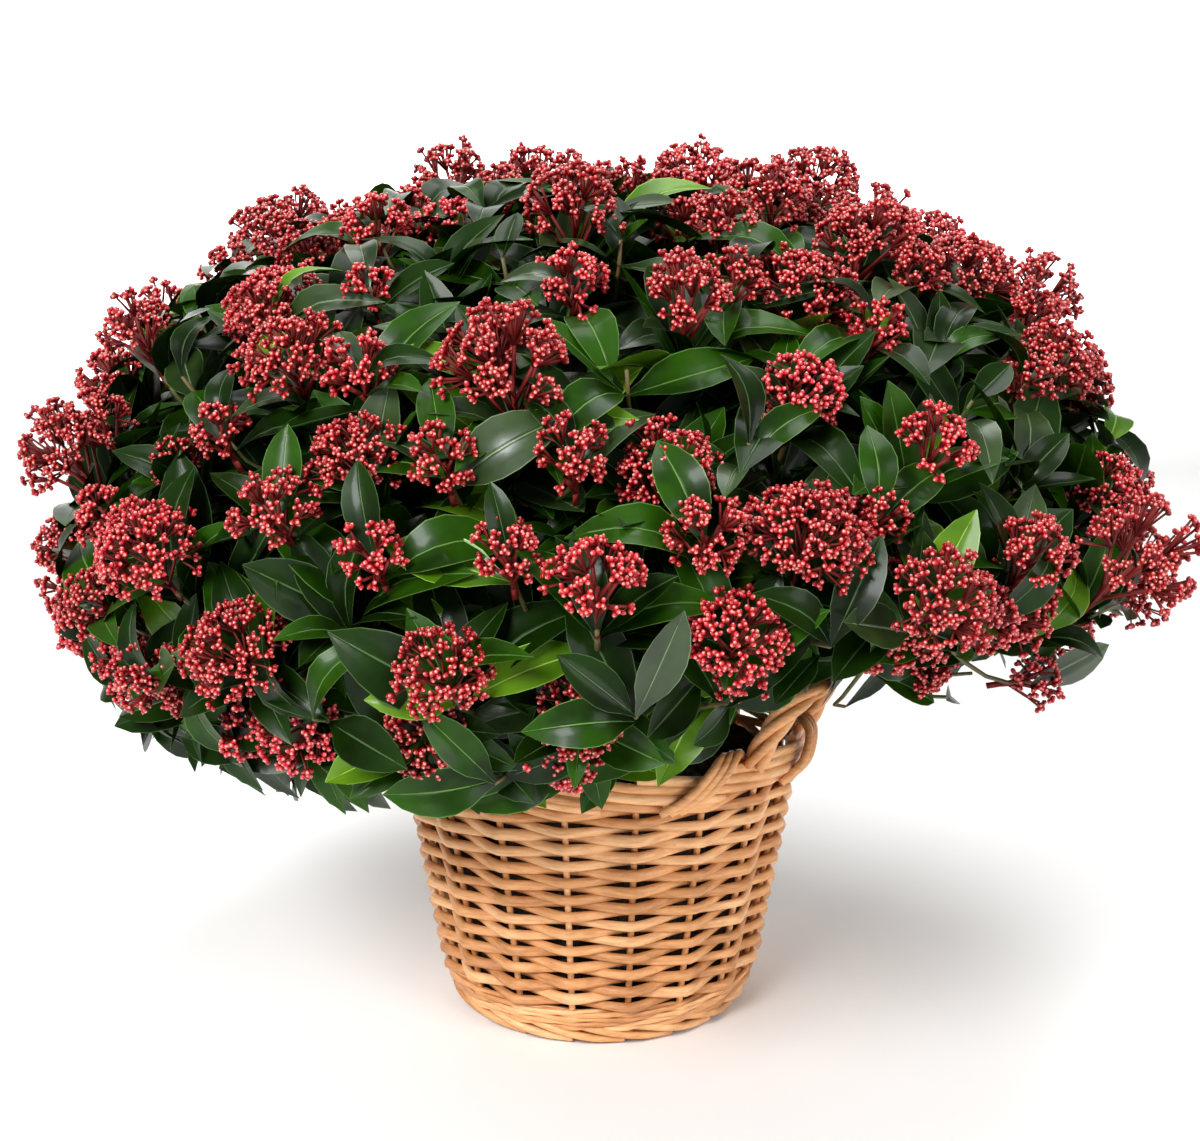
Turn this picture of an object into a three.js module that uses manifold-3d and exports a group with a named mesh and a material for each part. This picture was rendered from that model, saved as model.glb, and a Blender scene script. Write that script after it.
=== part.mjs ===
// A flowering skimmia in a round willow basket: short stem, boughs, masses of leaves and bud heads.
// Millimetres, +Z up, origin at the middle of the basket's flat underside.

import * as THREE from 'three';
import { mergeVertices } from 'three/addons/utils/BufferGeometryUtils.js';
import Module from 'manifold-3d';

const wasm = await Module();
wasm.setup();

// Driving dimensions. Clearances first.
const GAP = 0.3; // between faces that touch
const LIMB_CLEARANCE = 0.8; // foliage to a limb
const CELL_CLEARANCE = 0.7; // foliage to the border of its mass's space
const SLIVERS = [0.14, 0.1, 0.2, 0.05, 0.02]; // fused faces narrower than this are smoothed away
const WELD = 0.002; // corners closer than this are one
const NEEDLE = 0.0003; // no face is narrower than this

// Basket
const STAKES = 18; // the wall runs straight from each stake to the next
const BASKET_HEIGHT = 196;
const UNDERSIDE_RADIUS = 92;
const WALL_FOOT_RADIUS = 104; // where the straight wall would meet the ground
const WALL_RIM_RADIUS = 138;
const UPSET_HEIGHT = 26; // the wall curves in below this
const WALL_THICKNESS = 10;
const FLOOR_THICKNESS = 9;
const BORDER_HEIGHT = 24;
const BORDER_PROUD = 7;
const BORDER_ROUND = 6; // the border's own edges are rounded by about this much
const WEAVE_ROWS = 36; // each passes before one stake and behind the next
const WEAVE_DEPTH = 2.6;
const WEAVE_FOOT = 25; // the weave starts above a smooth foot
const FOOT_BAND = 12;
const FOOT_PROUD = 2.5;

// Ear handles
const HANDLE_AZIMUTH = -24;
const HANDLE_HALF_SPAN = 21;
const HANDLE_RISE = 50;
const HANDLE_RADIUS = 140;
const HANDLE_LEAN = 22; // further out at its top than at its feet
const HANDLE_LOBES = 3;
const ROPE_CREST = 9;
const ROPE_TROUGH = 6.5;
const ROPE_STEPS = 14;
const ROPE_TURN = 42; // degrees of twist at each step

// Compost and stem
const COMPOST_TOP = 170;
const COMPOST_CLEARANCE = 1; // to the wall
const COMPOST_DIP = 5; // lower at the wall than in the middle
const STEM_TOP = 264;
const STEM_RADII = [25, 19.5, 17, 16, 15.5];
const STEM_SIDES = 12;

// Crown: a flattened dome above its widest level, and a shallower bowl below it
const CROWN_LEVEL = 320;
const CROWN_RADIUS = 372;
const CROWN_RISE = 255;
const CROWN_DROP = 138;
const CROWN_DROP_LEAN = 35; // the bowl hangs lower towards -X
const CROWN_POWER = 2.2;
const APEX = new THREE.Vector3(0, 0, 215); // every mass's space narrows to this point

// Masses: rings of so many, each with its elevation and first azimuth from the apex, the heights at
// which its boughs leave the stem, the leaves that it grows under a head and the length of a leaf
const RINGS = [
  {
    name: 'low',
    count: 8,
    elevation: 12,
    azimuth: HANDLE_AZIMUTH - 22.5,
    roots: [213, 224],
    leaves: 2,
    leafLength: [82, 98],
  },
  {
    name: 'mid',
    count: 8,
    elevation: 41,
    azimuth: HANDLE_AZIMUTH - 45,
    roots: [235, 245],
    leaves: 3,
    leafLength: [100, 124],
  },
  {
    name: 'top',
    count: 3,
    elevation: 71,
    azimuth: 20,
    roots: [256, 256],
    leaves: 4,
    leafLength: [104, 128],
  },
];
const BOUGH_SHARE = 0.5; // of the way from the apex to the crown's edge
const STEMLET_SHARE = 0.7;
const BOUGH_RADII = [4.6, 3.6];
const BOUGH_BULGE = 0.36; // a bough's handles, as a share of its span
const BOUGH_SIDES = 5;
const STEMLET_RADII = [4.2, 3.4];
const TWIG_RADII = [2.1, 1.9];
const TWIG_BULGE = 0.3;
const TWIG_SIDES = 3;
const TWIG_ROOTS = [0.3, 0.95]; // share of the stemlet that carries twigs
const TWIG_FORWARD = 0.45; // share of a twig's first way that runs on along its stemlet

// Shoots, heads of buds and leaves
const SHOOT_TRIALS = 2400;
const SHOOT_SPACING = 80;
const SHOOT_BORDER = 26; // least distance from a shoot's top to the border of its space
const SHOOT_LOWEST = -5; // degrees below the apex's level
const SHOOT_NEAREST = 255; // from the basket's axis, for shoots below the crown's widest level
const FLOWER_LOWEST = 3;
const SHOOT_LEVELS = [250, 385]; // shoots lean outwards below the first and rise above the second
const SHOOT_RISE = [0.02, 0.52]; // share of straight up in a shoot's way, at those levels
const SHOOT_OUT = 0.62; // share of straight out from the apex
const SHOOT_LIFT = 22; // low heads stand this far above the leaves that hang under them
const LEAF_SAG = [0.3, 0]; // share of straight down in a leaf's way, at those levels
const HEAD_HEIGHT = [50, 64];
const HEAD_RADIUS = [26, 33];
const HEAD_TRIES = [1, 0.9, 0.8]; // a head is made smaller where it would leave its space
const HEAD_INSET = [0, 14];
const HEAD_ROOT = 8; // a twig runs this far into its head
const HEAD_WIDEST = 0.42; // share of its height at which a head is widest
const HEAD_RINGS = [0.22, 1, 0.9, 0.42]; // shares of its radius: foot, widest level in and out, top
const LEAF_SLENDERNESS = 0.37;
const LEAF_THICKNESS = 2;
const LEAF_FOLD = 3;
const LEAF_WIDEST = 0.52; // share of its length at which a leaf is widest
const LEAF_ARCH = 0.05; // share of its length that its middle stands above its ends
const LEAF_SPREAD = [70, 94]; // degrees from the shoot's axis
const LEAF_TRIES = 26;
const LEAF_SEAT = 4; // from the head's root to the first leaf's
const LEAF_STEP = 7; // along the twig from one leaf's root to the next
const TWIG_LIMIT = 1; // crown levels that a shoot's pieces stay below
const LEAF_LIMIT = 1.05;
const HEAD_LIMIT = 1.06;
const OVERLAP = 3; // leaves and heads of a mass may meet by this much, at their roots
const SEED = 20261;
const SEED_STEP = 7919;

const GOLDEN_ANGLE = Math.PI * (3 - Math.sqrt(5));
const UP = new THREE.Vector3(0, 0, 1);
const radians = THREE.MathUtils.degToRad;

// Seeded numbers from 0 to 1: one stream for each mass
function stream(seed) {
  let state = seed >>> 0;
  return () => {
    state = (Math.imul(state, 1664525) + 1013904223) >>> 0;
    return state / 4294967296;
  };
}

const between = (range, share) => range[0] + (range[1] - range[0]) * share;

function polar(azimuth, elevation) {
  const flat = Math.cos(radians(elevation));
  return new THREE.Vector3(
    flat * Math.cos(radians(azimuth)),
    flat * Math.sin(radians(azimuth)),
    Math.sin(radians(elevation)),
  );
}

// ---- Closed shapes, as points and faces that turn outwards ----

const middleOf = (points) =>
  points.reduce((sum, point) => sum.add(point), new THREE.Vector3()).divideScalar(points.length);

function ring(centre, across, along, radii, phase = 0) {
  return radii.map((radius, index) => {
    const angle = (2 * Math.PI * index) / radii.length + phase;
    return centre
      .clone()
      .addScaledVector(across, radius * Math.cos(angle))
      .addScaledVector(along, radius * Math.sin(angle));
  });
}

// Joins rings of equal count into a closed shape with flat ends
function loft(rings) {
  const sides = rings[0].length;
  const points = rings.flat();
  const faces = [];
  for (let row = 0; row + 1 < rings.length; row += 1) {
    for (let side = 0; side < sides; side += 1) {
      const a = row * sides + side;
      const b = row * sides + ((side + 1) % sides);
      faces.push([a, b, a + sides], [b, b + sides, a + sides]);
    }
  }
  const last = points.length - sides;
  for (let side = 1; side + 1 < sides; side += 1) {
    faces.push([0, side + 1, side], [last, last + side, last + side + 1]);
  }
  return { points, faces };
}

// A limb along a list of points, with a tangent for each and a tapering radius
function limb(path, tangents, radii, sides) {
  let across = new THREE.Vector3(0, 0, 1).cross(tangents[0]);
  if (across.lengthSq() < 0.01) across = new THREE.Vector3(1, 0, 0);
  const rings = path.map((centre, index) => {
    const tangent = tangents[index];
    across = across.clone().addScaledVector(tangent, -across.dot(tangent)).normalize();
    const along = tangent.clone().cross(across);
    const radius = between(radii, index / (path.length - 1));
    return ring(centre, across, along, Array(sides).fill(radius));
  });
  return loft(rings);
}

function curve(start, startWay, end, endWay, bulge, steps) {
  const reach = start.distanceTo(end) * bulge;
  const line = new THREE.CubicBezierCurve3(
    start,
    start.clone().addScaledVector(startWay, reach),
    end.clone().addScaledVector(endWay, -reach),
    end,
  );
  const shares = Array.from({ length: steps + 1 }, (_, index) => index / steps);
  return {
    path: shares.map((share) => line.getPoint(share)),
    tangents: shares.map((share) => line.getTangent(share)),
  };
}

// A leaf: root, two edges, rib above and below, tip
function leafShape(root, way, upper, length) {
  const normal = upper.clone().addScaledVector(way, -upper.dot(way)).normalize();
  const side = normal.clone().cross(way);
  const halfWidth = (length * LEAF_SLENDERNESS) / 2;
  const middle = root
    .clone()
    .addScaledVector(way, length * LEAF_WIDEST)
    .addScaledVector(normal, length * LEAF_ARCH);
  const at = (sideways, lift) => middle.clone().addScaledVector(side, sideways).addScaledVector(normal, lift);
  const points = [
    root,
    at(halfWidth, LEAF_FOLD),
    at(-halfWidth, LEAF_FOLD),
    at(0, LEAF_THICKNESS / 2),
    at(0, -LEAF_THICKNESS / 2),
    root.clone().addScaledVector(way, length),
  ];
  const faces = [
    [0, 2, 3], [0, 3, 1], [0, 4, 2], [0, 1, 4],
    [5, 3, 2], [5, 1, 3], [5, 2, 4], [5, 4, 1],
  ];
  return { points, faces, ways: [normal, side, way] };
}

// A head of buds: a blunt cone with a lumpy edge, on a small foot. Three sides at its ends, six between
function headShape(base, axis, height, radius, turn) {
  const across = new THREE.Vector3(1, 0, 0).cross(axis).normalize();
  const along = axis.clone().cross(across);
  const at = (share) => base.clone().addScaledVector(axis, height * share);
  const [foot, crest, trough, top] = HEAD_RINGS.map((share) => share * radius);
  const points = [
    ...ring(at(0), across, along, [foot, foot, foot], turn),
    ...ring(at(HEAD_WIDEST), across, along, [crest, trough, crest, trough, crest, trough], turn),
    ...ring(at(1), across, along, [top, top, top], turn),
  ];
  const faces = [[0, 2, 1], [9, 10, 11]];
  for (let third = 0; third < 3; third += 1) {
    const next = (third + 1) % 3;
    const [a, b, c] = [3 + 2 * third, 4 + 2 * third, 3 + 2 * next];
    faces.push([third, b, a], [third, next, b], [next, c, b]);
    faces.push([a, b, 9 + third], [b, 9 + next, 9 + third], [b, c, 9 + next]);
  }
  return { points, faces, ways: [axis] };
}

// ---- Space: the crown's outline, each mass's share of it, and what foliage keeps clear of ----

function crownLevel(point) {
  const out = Math.hypot(point.x, point.y);
  const lean = out > 0 ? point.x / out : 0;
  const height = point.z - CROWN_LEVEL;
  const span = height > 0 ? CROWN_RISE : CROWN_DROP - CROWN_DROP_LEAN * lean;
  return (out / CROWN_RADIUS) ** CROWN_POWER + (Math.abs(height) / span) ** CROWN_POWER;
}

function crownReach(way) {
  let near = 0;
  let far = 2 * CROWN_RADIUS;
  for (let step = 0; step < 40; step += 1) {
    const middle = (near + far) / 2;
    if (crownLevel(APEX.clone().addScaledVector(way, middle)) < 1) near = middle;
    else far = middle;
  }
  return near;
}

const masses = RINGS.flatMap(({ name, count, elevation, azimuth, roots, leaves, leafLength }) =>
  Array.from({ length: count }, (_, index) => ({
    name: `${name}_foliage_${index + 1}`,
    boughName: `${name}_bough_${index + 1}`,
    azimuth: azimuth + (360 * index) / count,
    way: polar(azimuth + (360 * index) / count, elevation),
    root: roots[index % 2],
    leaves,
    leafLength,
    shoots: [],
  })),
);

masses.forEach((mass) => {
  mass.walls = masses
    .filter((other) => other !== mass)
    .map((other) => other.way.clone().sub(mass.way).normalize());
});

const depthInSpace = (mass, point) => {
  const offset = point.clone().sub(APEX);
  return Math.min(...mass.walls.map((wall) => -wall.dot(offset)));
};

// True where a plane square to way parts all the points from what lies below level along it
const beyond = (points, way, level) => points.every((point) => point.dot(way) > level);

function clearOfLimb(points, { path, radii }) {
  const centre = middleOf(points);
  const nearest = new THREE.Vector3();
  for (let index = 0; index + 1 < path.length; index += 1) {
    new THREE.Line3(path[index], path[index + 1]).closestPointToPoint(centre, true, nearest);
    const way = centre.clone().sub(nearest).normalize();
    if (!beyond(points, way, nearest.dot(way) + radii[0] + LIMB_CLEARANCE)) return false;
  }
  return true;
}

// Boxes that turn with the handles: the rope with its grip, and the way in to the grip from outside
const handleAzimuths = [HANDLE_AZIMUTH, HANDLE_AZIMUTH + 180];
const HANDLE_SPACE = { inner: 98, outer: 172, half: 66, top: BASKET_HEIGHT + HANDLE_RISE + 17 };
const GRIP_SPACE = { inner: 98, outer: 420, half: 34, top: 234 };

function clearOfHandles(points) {
  return handleAzimuths.every((azimuth) => {
    const out = polar(azimuth, 0);
    const aside = polar(azimuth + 90, 0);
    return [HANDLE_SPACE, GRIP_SPACE].every(
      ({ inner, outer, half, top }) =>
        beyond(points, UP, top) ||
        beyond(points, out, outer) ||
        beyond(points, out.clone().negate(), -inner) ||
        beyond(points, aside, half) ||
        beyond(points, aside.clone().negate(), half),
    );
  });
}

const BASKET_SPACE = { outer: WALL_RIM_RADIUS + BORDER_PROUD + 4, top: BASKET_HEIGHT + 3 };

function clearOfBasket(points) {
  const out = middleOf(points).setZ(0).normalize();
  return beyond(points, UP, BASKET_SPACE.top) || beyond(points, out, BASKET_SPACE.outer);
}

// False where one of a few planes parts two pieces of a mass
function crosses(one, other) {
  const ways = [
    ...one.ways,
    ...other.ways,
    middleOf(other.points).sub(middleOf(one.points)).normalize(),
    other.ways.at(-1).clone().sub(one.ways.at(-1)).normalize(),
  ];
  return !ways.some((way) => {
    const [here, there] = [one, other].map(({ points }) => points.map((point) => point.dot(way)));
    const apart = Math.max(Math.min(...there) - Math.max(...here), Math.min(...here) - Math.max(...there));
    return apart > -OVERLAP;
  });
}

function fits(mass, points, reachLimit) {
  return (
    points.every((point) => depthInSpace(mass, point) > CELL_CLEARANCE && crownLevel(point) < reachLimit) &&
    clearOfBasket(points) &&
    clearOfHandles(points) &&
    limbs.every((one) => clearOfLimb(points, one))
  );
}

// ---- Basket ----

function wallRadius(height) {
  const straight = WALL_FOOT_RADIUS + ((WALL_RIM_RADIUS - WALL_FOOT_RADIUS) * height) / BASKET_HEIGHT;
  const below = Math.max(0, 1 - height / UPSET_HEIGHT);
  return straight - (WALL_FOOT_RADIUS - UNDERSIDE_RADIUS) * below ** 2;
}

// Sections [radius, height, depth of weave] from the middle of the underside round to the middle of the floor
function basketSections() {
  const borderFoot = BASKET_HEIGHT - BORDER_HEIGHT;
  const sections = [
    [UNDERSIDE_RADIUS, 0, 0],
    [wallRadius(FOOT_BAND / 3) + FOOT_PROUD, FOOT_BAND / 3, 0],
    [wallRadius(FOOT_BAND), FOOT_BAND, 0],
    [wallRadius(WEAVE_FOOT), WEAVE_FOOT, 0],
  ];
  for (let row = 1; row <= WEAVE_ROWS; row += 1) {
    const height = WEAVE_FOOT + ((borderFoot - WEAVE_FOOT) * row) / (WEAVE_ROWS + 1);
    sections.push([wallRadius(height), height, row % 2 ? WEAVE_DEPTH : -WEAVE_DEPTH]);
  }
  const inner = (height) => wallRadius(height) - WALL_THICKNESS;
  sections.push(
    [wallRadius(borderFoot), borderFoot, 0],
    [wallRadius(borderFoot) + BORDER_PROUD, borderFoot + BORDER_ROUND, 0],
    [WALL_RIM_RADIUS + BORDER_PROUD, BASKET_HEIGHT - BORDER_ROUND, 0],
    [WALL_RIM_RADIUS + BORDER_PROUD - BORDER_ROUND / 2, BASKET_HEIGHT, 0],
    [inner(BASKET_HEIGHT) + BORDER_ROUND / 2, BASKET_HEIGHT, 0],
    [inner(BASKET_HEIGHT - BORDER_ROUND), BASKET_HEIGHT - BORDER_ROUND, 0],
    [inner(UPSET_HEIGHT), UPSET_HEIGHT, 0],
    [inner(FLOOR_THICKNESS), FLOOR_THICKNESS, 0],
  );
  return sections;
}

function basketShape() {
  const sections = basketSections();
  const points = [new THREE.Vector3(0, 0, 0)];
  sections.forEach(([radius, height, weave]) => {
    for (let column = 0; column < STAKES; column += 1) {
      const angle = (2 * Math.PI * column) / STAKES;
      const out = radius + (column % 2 ? -weave : weave);
      points.push(new THREE.Vector3(out * Math.cos(angle), out * Math.sin(angle), height));
    }
  });
  points.push(new THREE.Vector3(0, 0, FLOOR_THICKNESS));
  const faces = [];
  const end = points.length - 1;
  for (let column = 0; column < STAKES; column += 1) {
    const next = (column + 1) % STAKES;
    faces.push([0, 1 + next, 1 + column]);
    for (let row = 0; row + 1 < sections.length; row += 1) {
      const a = 1 + row * STAKES + column;
      const b = 1 + row * STAKES + next;
      faces.push([a, b, a + STAKES], [b, b + STAKES, a + STAKES]);
    }
    faces.push([end, end - STAKES + column, end - STAKES + next]);
  }
  return { points, faces };
}

// A twisted rope of rods that stands on the border as an arch
function handleShape(azimuth) {
  const lobes = Array.from({ length: 2 * HANDLE_LOBES }, (_, side) => (side % 2 ? ROPE_TROUGH : ROPE_CREST));
  const rings = [];
  for (let step = 0; step <= ROPE_STEPS; step += 1) {
    const angle = (Math.PI * step) / ROPE_STEPS;
    const out = polar(azimuth - HANDLE_HALF_SPAN * Math.cos(angle), 0);
    const centre = out.clone().multiplyScalar(HANDLE_RADIUS + HANDLE_LEAN * Math.sin(angle));
    centre.z = BASKET_HEIGHT + GAP + HANDLE_RISE * Math.sin(angle);
    const aside = polar(azimuth + 90, 0);
    const tangent = aside.multiplyScalar(Math.sin(angle)).addScaledVector(UP, Math.cos(angle)).normalize();
    const across = out.addScaledVector(tangent, -out.dot(tangent)).normalize();
    rings.push(ring(centre, across, tangent.clone().cross(across), lobes, radians(ROPE_TURN * step)));
  }
  return loft(rings);
}

function compostShape() {
  const edge = COMPOST_TOP - COMPOST_DIP;
  const reach = (height) => wallRadius(height) - WALL_THICKNESS - COMPOST_CLEARANCE;
  const profile = [
    [reach(FLOOR_THICKNESS), FLOOR_THICKNESS + GAP],
    [reach(UPSET_HEIGHT), UPSET_HEIGHT],
    [reach(edge), edge],
    [reach(edge) - 2 * COMPOST_DIP, COMPOST_TOP],
  ];
  const across = new THREE.Vector3(1, 0, 0);
  const along = new THREE.Vector3(0, 1, 0);
  return loft(
    profile.map(([radius, height]) =>
      ring(new THREE.Vector3(0, 0, height), across, along, Array(STAKES).fill(radius)),
    ),
  );
}

// ---- Stem and boughs ----

const stemFoot = COMPOST_TOP + GAP;

function stemRadius(height) {
  const place = ((height - stemFoot) / (STEM_TOP - stemFoot)) * (STEM_RADII.length - 1);
  const index = Math.min(Math.floor(place), STEM_RADII.length - 2);
  return between([STEM_RADII[index], STEM_RADII[index + 1]], place - index);
}

function stemShape() {
  const across = new THREE.Vector3(1, 0, 0);
  const along = new THREE.Vector3(0, 1, 0);
  return loft(
    STEM_RADII.map((radius, index) => {
      const height = stemFoot + ((STEM_TOP - stemFoot) * index) / (STEM_RADII.length - 1);
      return ring(new THREE.Vector3(0, 0, height), across, along, Array(STEM_SIDES).fill(radius));
    }),
  );
}

masses.forEach((mass) => {
  mass.reach = crownReach(mass.way);
  const out = polar(mass.azimuth, 0);
  const start = out.clone().multiplyScalar(stemRadius(mass.root - BOUGH_RADII[0]) + GAP).setZ(mass.root);
  mass.tip = APEX.clone().addScaledVector(mass.way, mass.reach * BOUGH_SHARE);
  mass.bough = { ...curve(start, out, mass.tip, mass.way, BOUGH_BULGE, 3), radii: BOUGH_RADII };
});

const limbs = [
  ...masses.map((mass) => mass.bough),
  { path: [new THREE.Vector3(0, 0, stemFoot), new THREE.Vector3(0, 0, STEM_TOP)], radii: STEM_RADII },
];

// ---- Shoots: spread evenly over the crown, each in the space of one mass ----

function placeShoots() {
  const placed = [];
  for (let trial = 0; trial < SHOOT_TRIALS; trial += 1) {
    const rise = 1 - (trial * (1 - Math.sin(radians(SHOOT_LOWEST)))) / SHOOT_TRIALS;
    const flat = Math.sqrt(1 - rise * rise);
    const turn = trial * GOLDEN_ANGLE;
    const way = new THREE.Vector3(flat * Math.cos(turn), flat * Math.sin(turn), rise);
    const top = APEX.clone().addScaledVector(way, crownReach(way));
    const mass = masses.reduce((best, one) => (one.way.dot(way) > best.way.dot(way) ? one : best));
    if (depthInSpace(mass, top) < SHOOT_BORDER) continue;
    if (top.z < CROWN_LEVEL && Math.hypot(top.x, top.y) < SHOOT_NEAREST) continue;
    if (placed.some((other) => other.distanceTo(top) < SHOOT_SPACING)) continue;
    placed.push(top);
    mass.shoots.push({ way, top, flowers: rise > Math.sin(radians(FLOWER_LOWEST)) });
  }
}

placeShoots();

// ---- One mass: a stemlet, twigs to its shoots, heads and leaves ----

function growShoot(mass, shoot, share, stemlet, random, pieces) {
  const size = random();
  const height = between(HEAD_HEIGHT, size);
  const radius = between(HEAD_RADIUS, size);
  const inset = between(HEAD_INSET, random());
  const level = THREE.MathUtils.smoothstep(shoot.top.z, ...SHOOT_LEVELS);
  const axis = shoot.way.clone().multiplyScalar(SHOOT_OUT);
  axis.addScaledVector(UP, between(SHOOT_RISE, level)).normalize();
  const base = shoot.top
    .clone()
    .addScaledVector(shoot.way, -inset)
    .addScaledVector(axis, -height)
    .addScaledVector(UP, SHOOT_LIFT * (1 - level));
  const from = stemlet[0].clone().lerp(stemlet[1], between(TWIG_ROOTS, share));
  const setOff = base.clone().sub(from);
  setOff.addScaledVector(mass.way, -setOff.dot(mass.way)).normalize();
  setOff.addScaledVector(mass.way, TWIG_FORWARD).normalize();
  const end = base.clone().addScaledVector(axis, HEAD_ROOT);
  const { path, tangents } = curve(from, setOff, end, axis, TWIG_BULGE, 2);
  const twig = limb(path, tangents, TWIG_RADII, TWIG_SIDES);
  if (!fits(mass, twig.points.slice(TWIG_SIDES), TWIG_LIMIT)) return;
  pieces.push(twig);
  const turn = 2 * Math.PI * random();
  if (shoot.flowers) {
    const heads = HEAD_TRIES.map((scale) => headShape(base, axis, height * scale, radius * scale, turn));
    const head = heads.find(({ points }) => fits(mass, points, HEAD_LIMIT));
    if (head) pieces.push(head);
  }
  const across = new THREE.Vector3(1, 0, 0).cross(axis).normalize();
  const along = axis.clone().cross(across);
  const lastWay = path[2].clone().sub(path[1]).normalize();
  let grown = 0;
  for (let trial = 0; trial < LEAF_TRIES; trial += 1) {
    const angle = turn + trial * GOLDEN_ANGLE;
    const spread = radians(between(LEAF_SPREAD, random()));
    const length = between(mass.leafLength, random());
    const way = axis
      .clone()
      .multiplyScalar(Math.cos(spread))
      .addScaledVector(across, Math.sin(spread) * Math.cos(angle))
      .addScaledVector(along, Math.sin(spread) * Math.sin(angle))
      .addScaledVector(UP, -between(LEAF_SAG, level))
      .normalize();
    const root = end.clone().addScaledVector(lastWay, -HEAD_ROOT - LEAF_SEAT - LEAF_STEP * grown);
    const leaf = leafShape(root, way, axis, length);
    if (grown === mass.leaves || !fits(mass, leaf.points, LEAF_LIMIT)) continue;
    if (pieces.some((piece) => piece.ways && crosses(piece, leaf))) continue;
    pieces.push(leaf);
    grown += 1;
  }
}

function growMass(mass, index) {
  const random = stream(SEED + SEED_STEP * index);
  const foot = mass.tip.clone().addScaledVector(mass.way, GAP);
  const end = APEX.clone().addScaledVector(mass.way, mass.reach * STEMLET_SHARE);
  const pieces = [limb([foot, end], [mass.way, mass.way], STEMLET_RADII, TWIG_SIDES)];
  mass.shoots.forEach((shoot, order) => {
    growShoot(mass, shoot, order / (mass.shoots.length - 1), [foot, end], random, pieces);
  });
  return pieces;
}

// ---- Solids ----

function geometryOf({ points, faces }) {
  const geometry = new THREE.BufferGeometry();
  const numbers = points.flatMap((point) => point.toArray());
  geometry.setAttribute('position', new THREE.Float32BufferAttribute(numbers, 3));
  geometry.setIndex(faces.flat());
  return mergeVertices(geometry, 1e-4);
}

const solidOf = (geometry) =>
  new wasm.Manifold(
    new wasm.Mesh({
      numProp: 3,
      vertProperties: new Float32Array(geometry.attributes.position.array),
      triVerts: new Uint32Array(geometry.index.array),
    }),
  );

// Leaves out pairs of faces that lie back to back on the same three corners
function withoutFlaps(geometry) {
  const corners = Array.from(geometry.index.array);
  const faceCount = corners.length / 3;
  const faces = Array.from({ length: faceCount }, (_, face) => corners.slice(3 * face, 3 * face + 3));
  const key = (face) => [...face].sort((a, b) => a - b).join();
  const uses = new Map();
  faces.forEach((face) => uses.set(key(face), (uses.get(key(face)) ?? 0) + 1));
  geometry.setIndex(faces.filter((face) => uses.get(key(face)) === 1).flat());
  return geometry;
}

// The largest body of a solid: its sealed hollows are filled and its loose scraps dropped
function largestBody(solid) {
  const bodies = solid.decompose().sort((a, b) => b.volume() - a.volume());
  const { vertProperties, triVerts } = bodies[0].getMesh();
  const geometry = new THREE.BufferGeometry();
  geometry.setAttribute('position', new THREE.BufferAttribute(vertProperties, 3));
  geometry.setIndex(new THREE.BufferAttribute(triVerts, 1));
  return withoutFlaps(mergeVertices(geometry, WELD));
}

// True where every edge of a skin joins exactly two faces
function closed(geometry) {
  const uses = new Map();
  const corners = geometry.index.array;
  for (let corner = 0; corner < corners.length; corner += 1) {
    const next = corner % 3 === 2 ? corner - 2 : corner + 1;
    const edge = [corners[corner], corners[next]].sort((a, b) => a - b).join();
    uses.set(edge, (uses.get(edge) ?? 0) + 1);
  }
  return [...uses.values()].every((count) => count === 2);
}

// The width of a skin's narrowest face
function narrowest(geometry) {
  const corners = geometry.index.array;
  const triangle = new THREE.Triangle();
  let width = Infinity;
  for (let corner = 0; corner < corners.length; corner += 3) {
    const { a, b, c } = triangle.setFromAttributeAndIndices(
      geometry.attributes.position,
      corners[corner],
      corners[corner + 1],
      corners[corner + 2],
    );
    const longest = Math.max(a.distanceTo(b), b.distanceTo(c), c.distanceTo(a));
    width = Math.min(width, (2 * triangle.getArea()) / longest);
  }
  return width;
}

const sound = (geometry) =>
  narrowest(geometry) > NEEDLE && [WELD, WELD / 2].every((reach) => closed(mergeVertices(geometry, reach)));

// The skin of fused shapes, smoothed until it is sound, or nothing where it never is
function skin(shapes) {
  const whole = wasm.Manifold.union(shapes.map((shape) => solidOf(geometryOf(shape))));
  return SLIVERS.map((sliver) => largestBody(whole.simplify(sliver))).find(sound);
}

// Fuses a mass. Where its skin isn't sound, it gives up the leaf that spoils it
function fuse(shapes) {
  const whole = skin(shapes);
  if (whole) return whole;
  const leaves = shapes.filter(({ ways }) => ways?.length === 3).reverse();
  const without = (leaf) => shapes.filter((shape) => shape !== leaf);
  const culprit = leaves.find((leaf) => skin(without(leaf)));
  return fuse(without(culprit ?? leaves[0] ?? shapes.at(-1)));
}

// ---- The plant in its basket ----

const materials = {
  willow: { color: 0xc8915a, roughness: 0.6, metalness: 0 },
  compost: { color: 0x2e2018, roughness: 0.95, metalness: 0 },
  bark: { color: 0x6b5238, roughness: 0.85, metalness: 0 },
  foliage: { color: 0x2f5a1e, roughness: 0.5, metalness: 0 },
};

const plant = new THREE.Group();

function add(name, geometry, finish) {
  geometry.computeVertexNormals();
  const mesh = new THREE.Mesh(geometry, new THREE.MeshStandardMaterial(materials[finish]));
  mesh.name = name;
  plant.add(mesh);
}

add('basket', geometryOf(basketShape()), 'willow');
add('handle_right', geometryOf(handleShape(handleAzimuths[0])), 'willow');
add('handle_left', geometryOf(handleShape(handleAzimuths[1])), 'willow');
add('compost', geometryOf(compostShape()), 'compost');
add('main_stem', geometryOf(stemShape()), 'bark');
masses.forEach((mass, index) => {
  const { path, tangents, radii } = mass.bough;
  add(mass.boughName, geometryOf(limb(path, tangents, radii, BOUGH_SIDES)), 'bark');
  add(mass.name, fuse(growMass(mass, index)), 'foliage');
});

export default plant;
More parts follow.
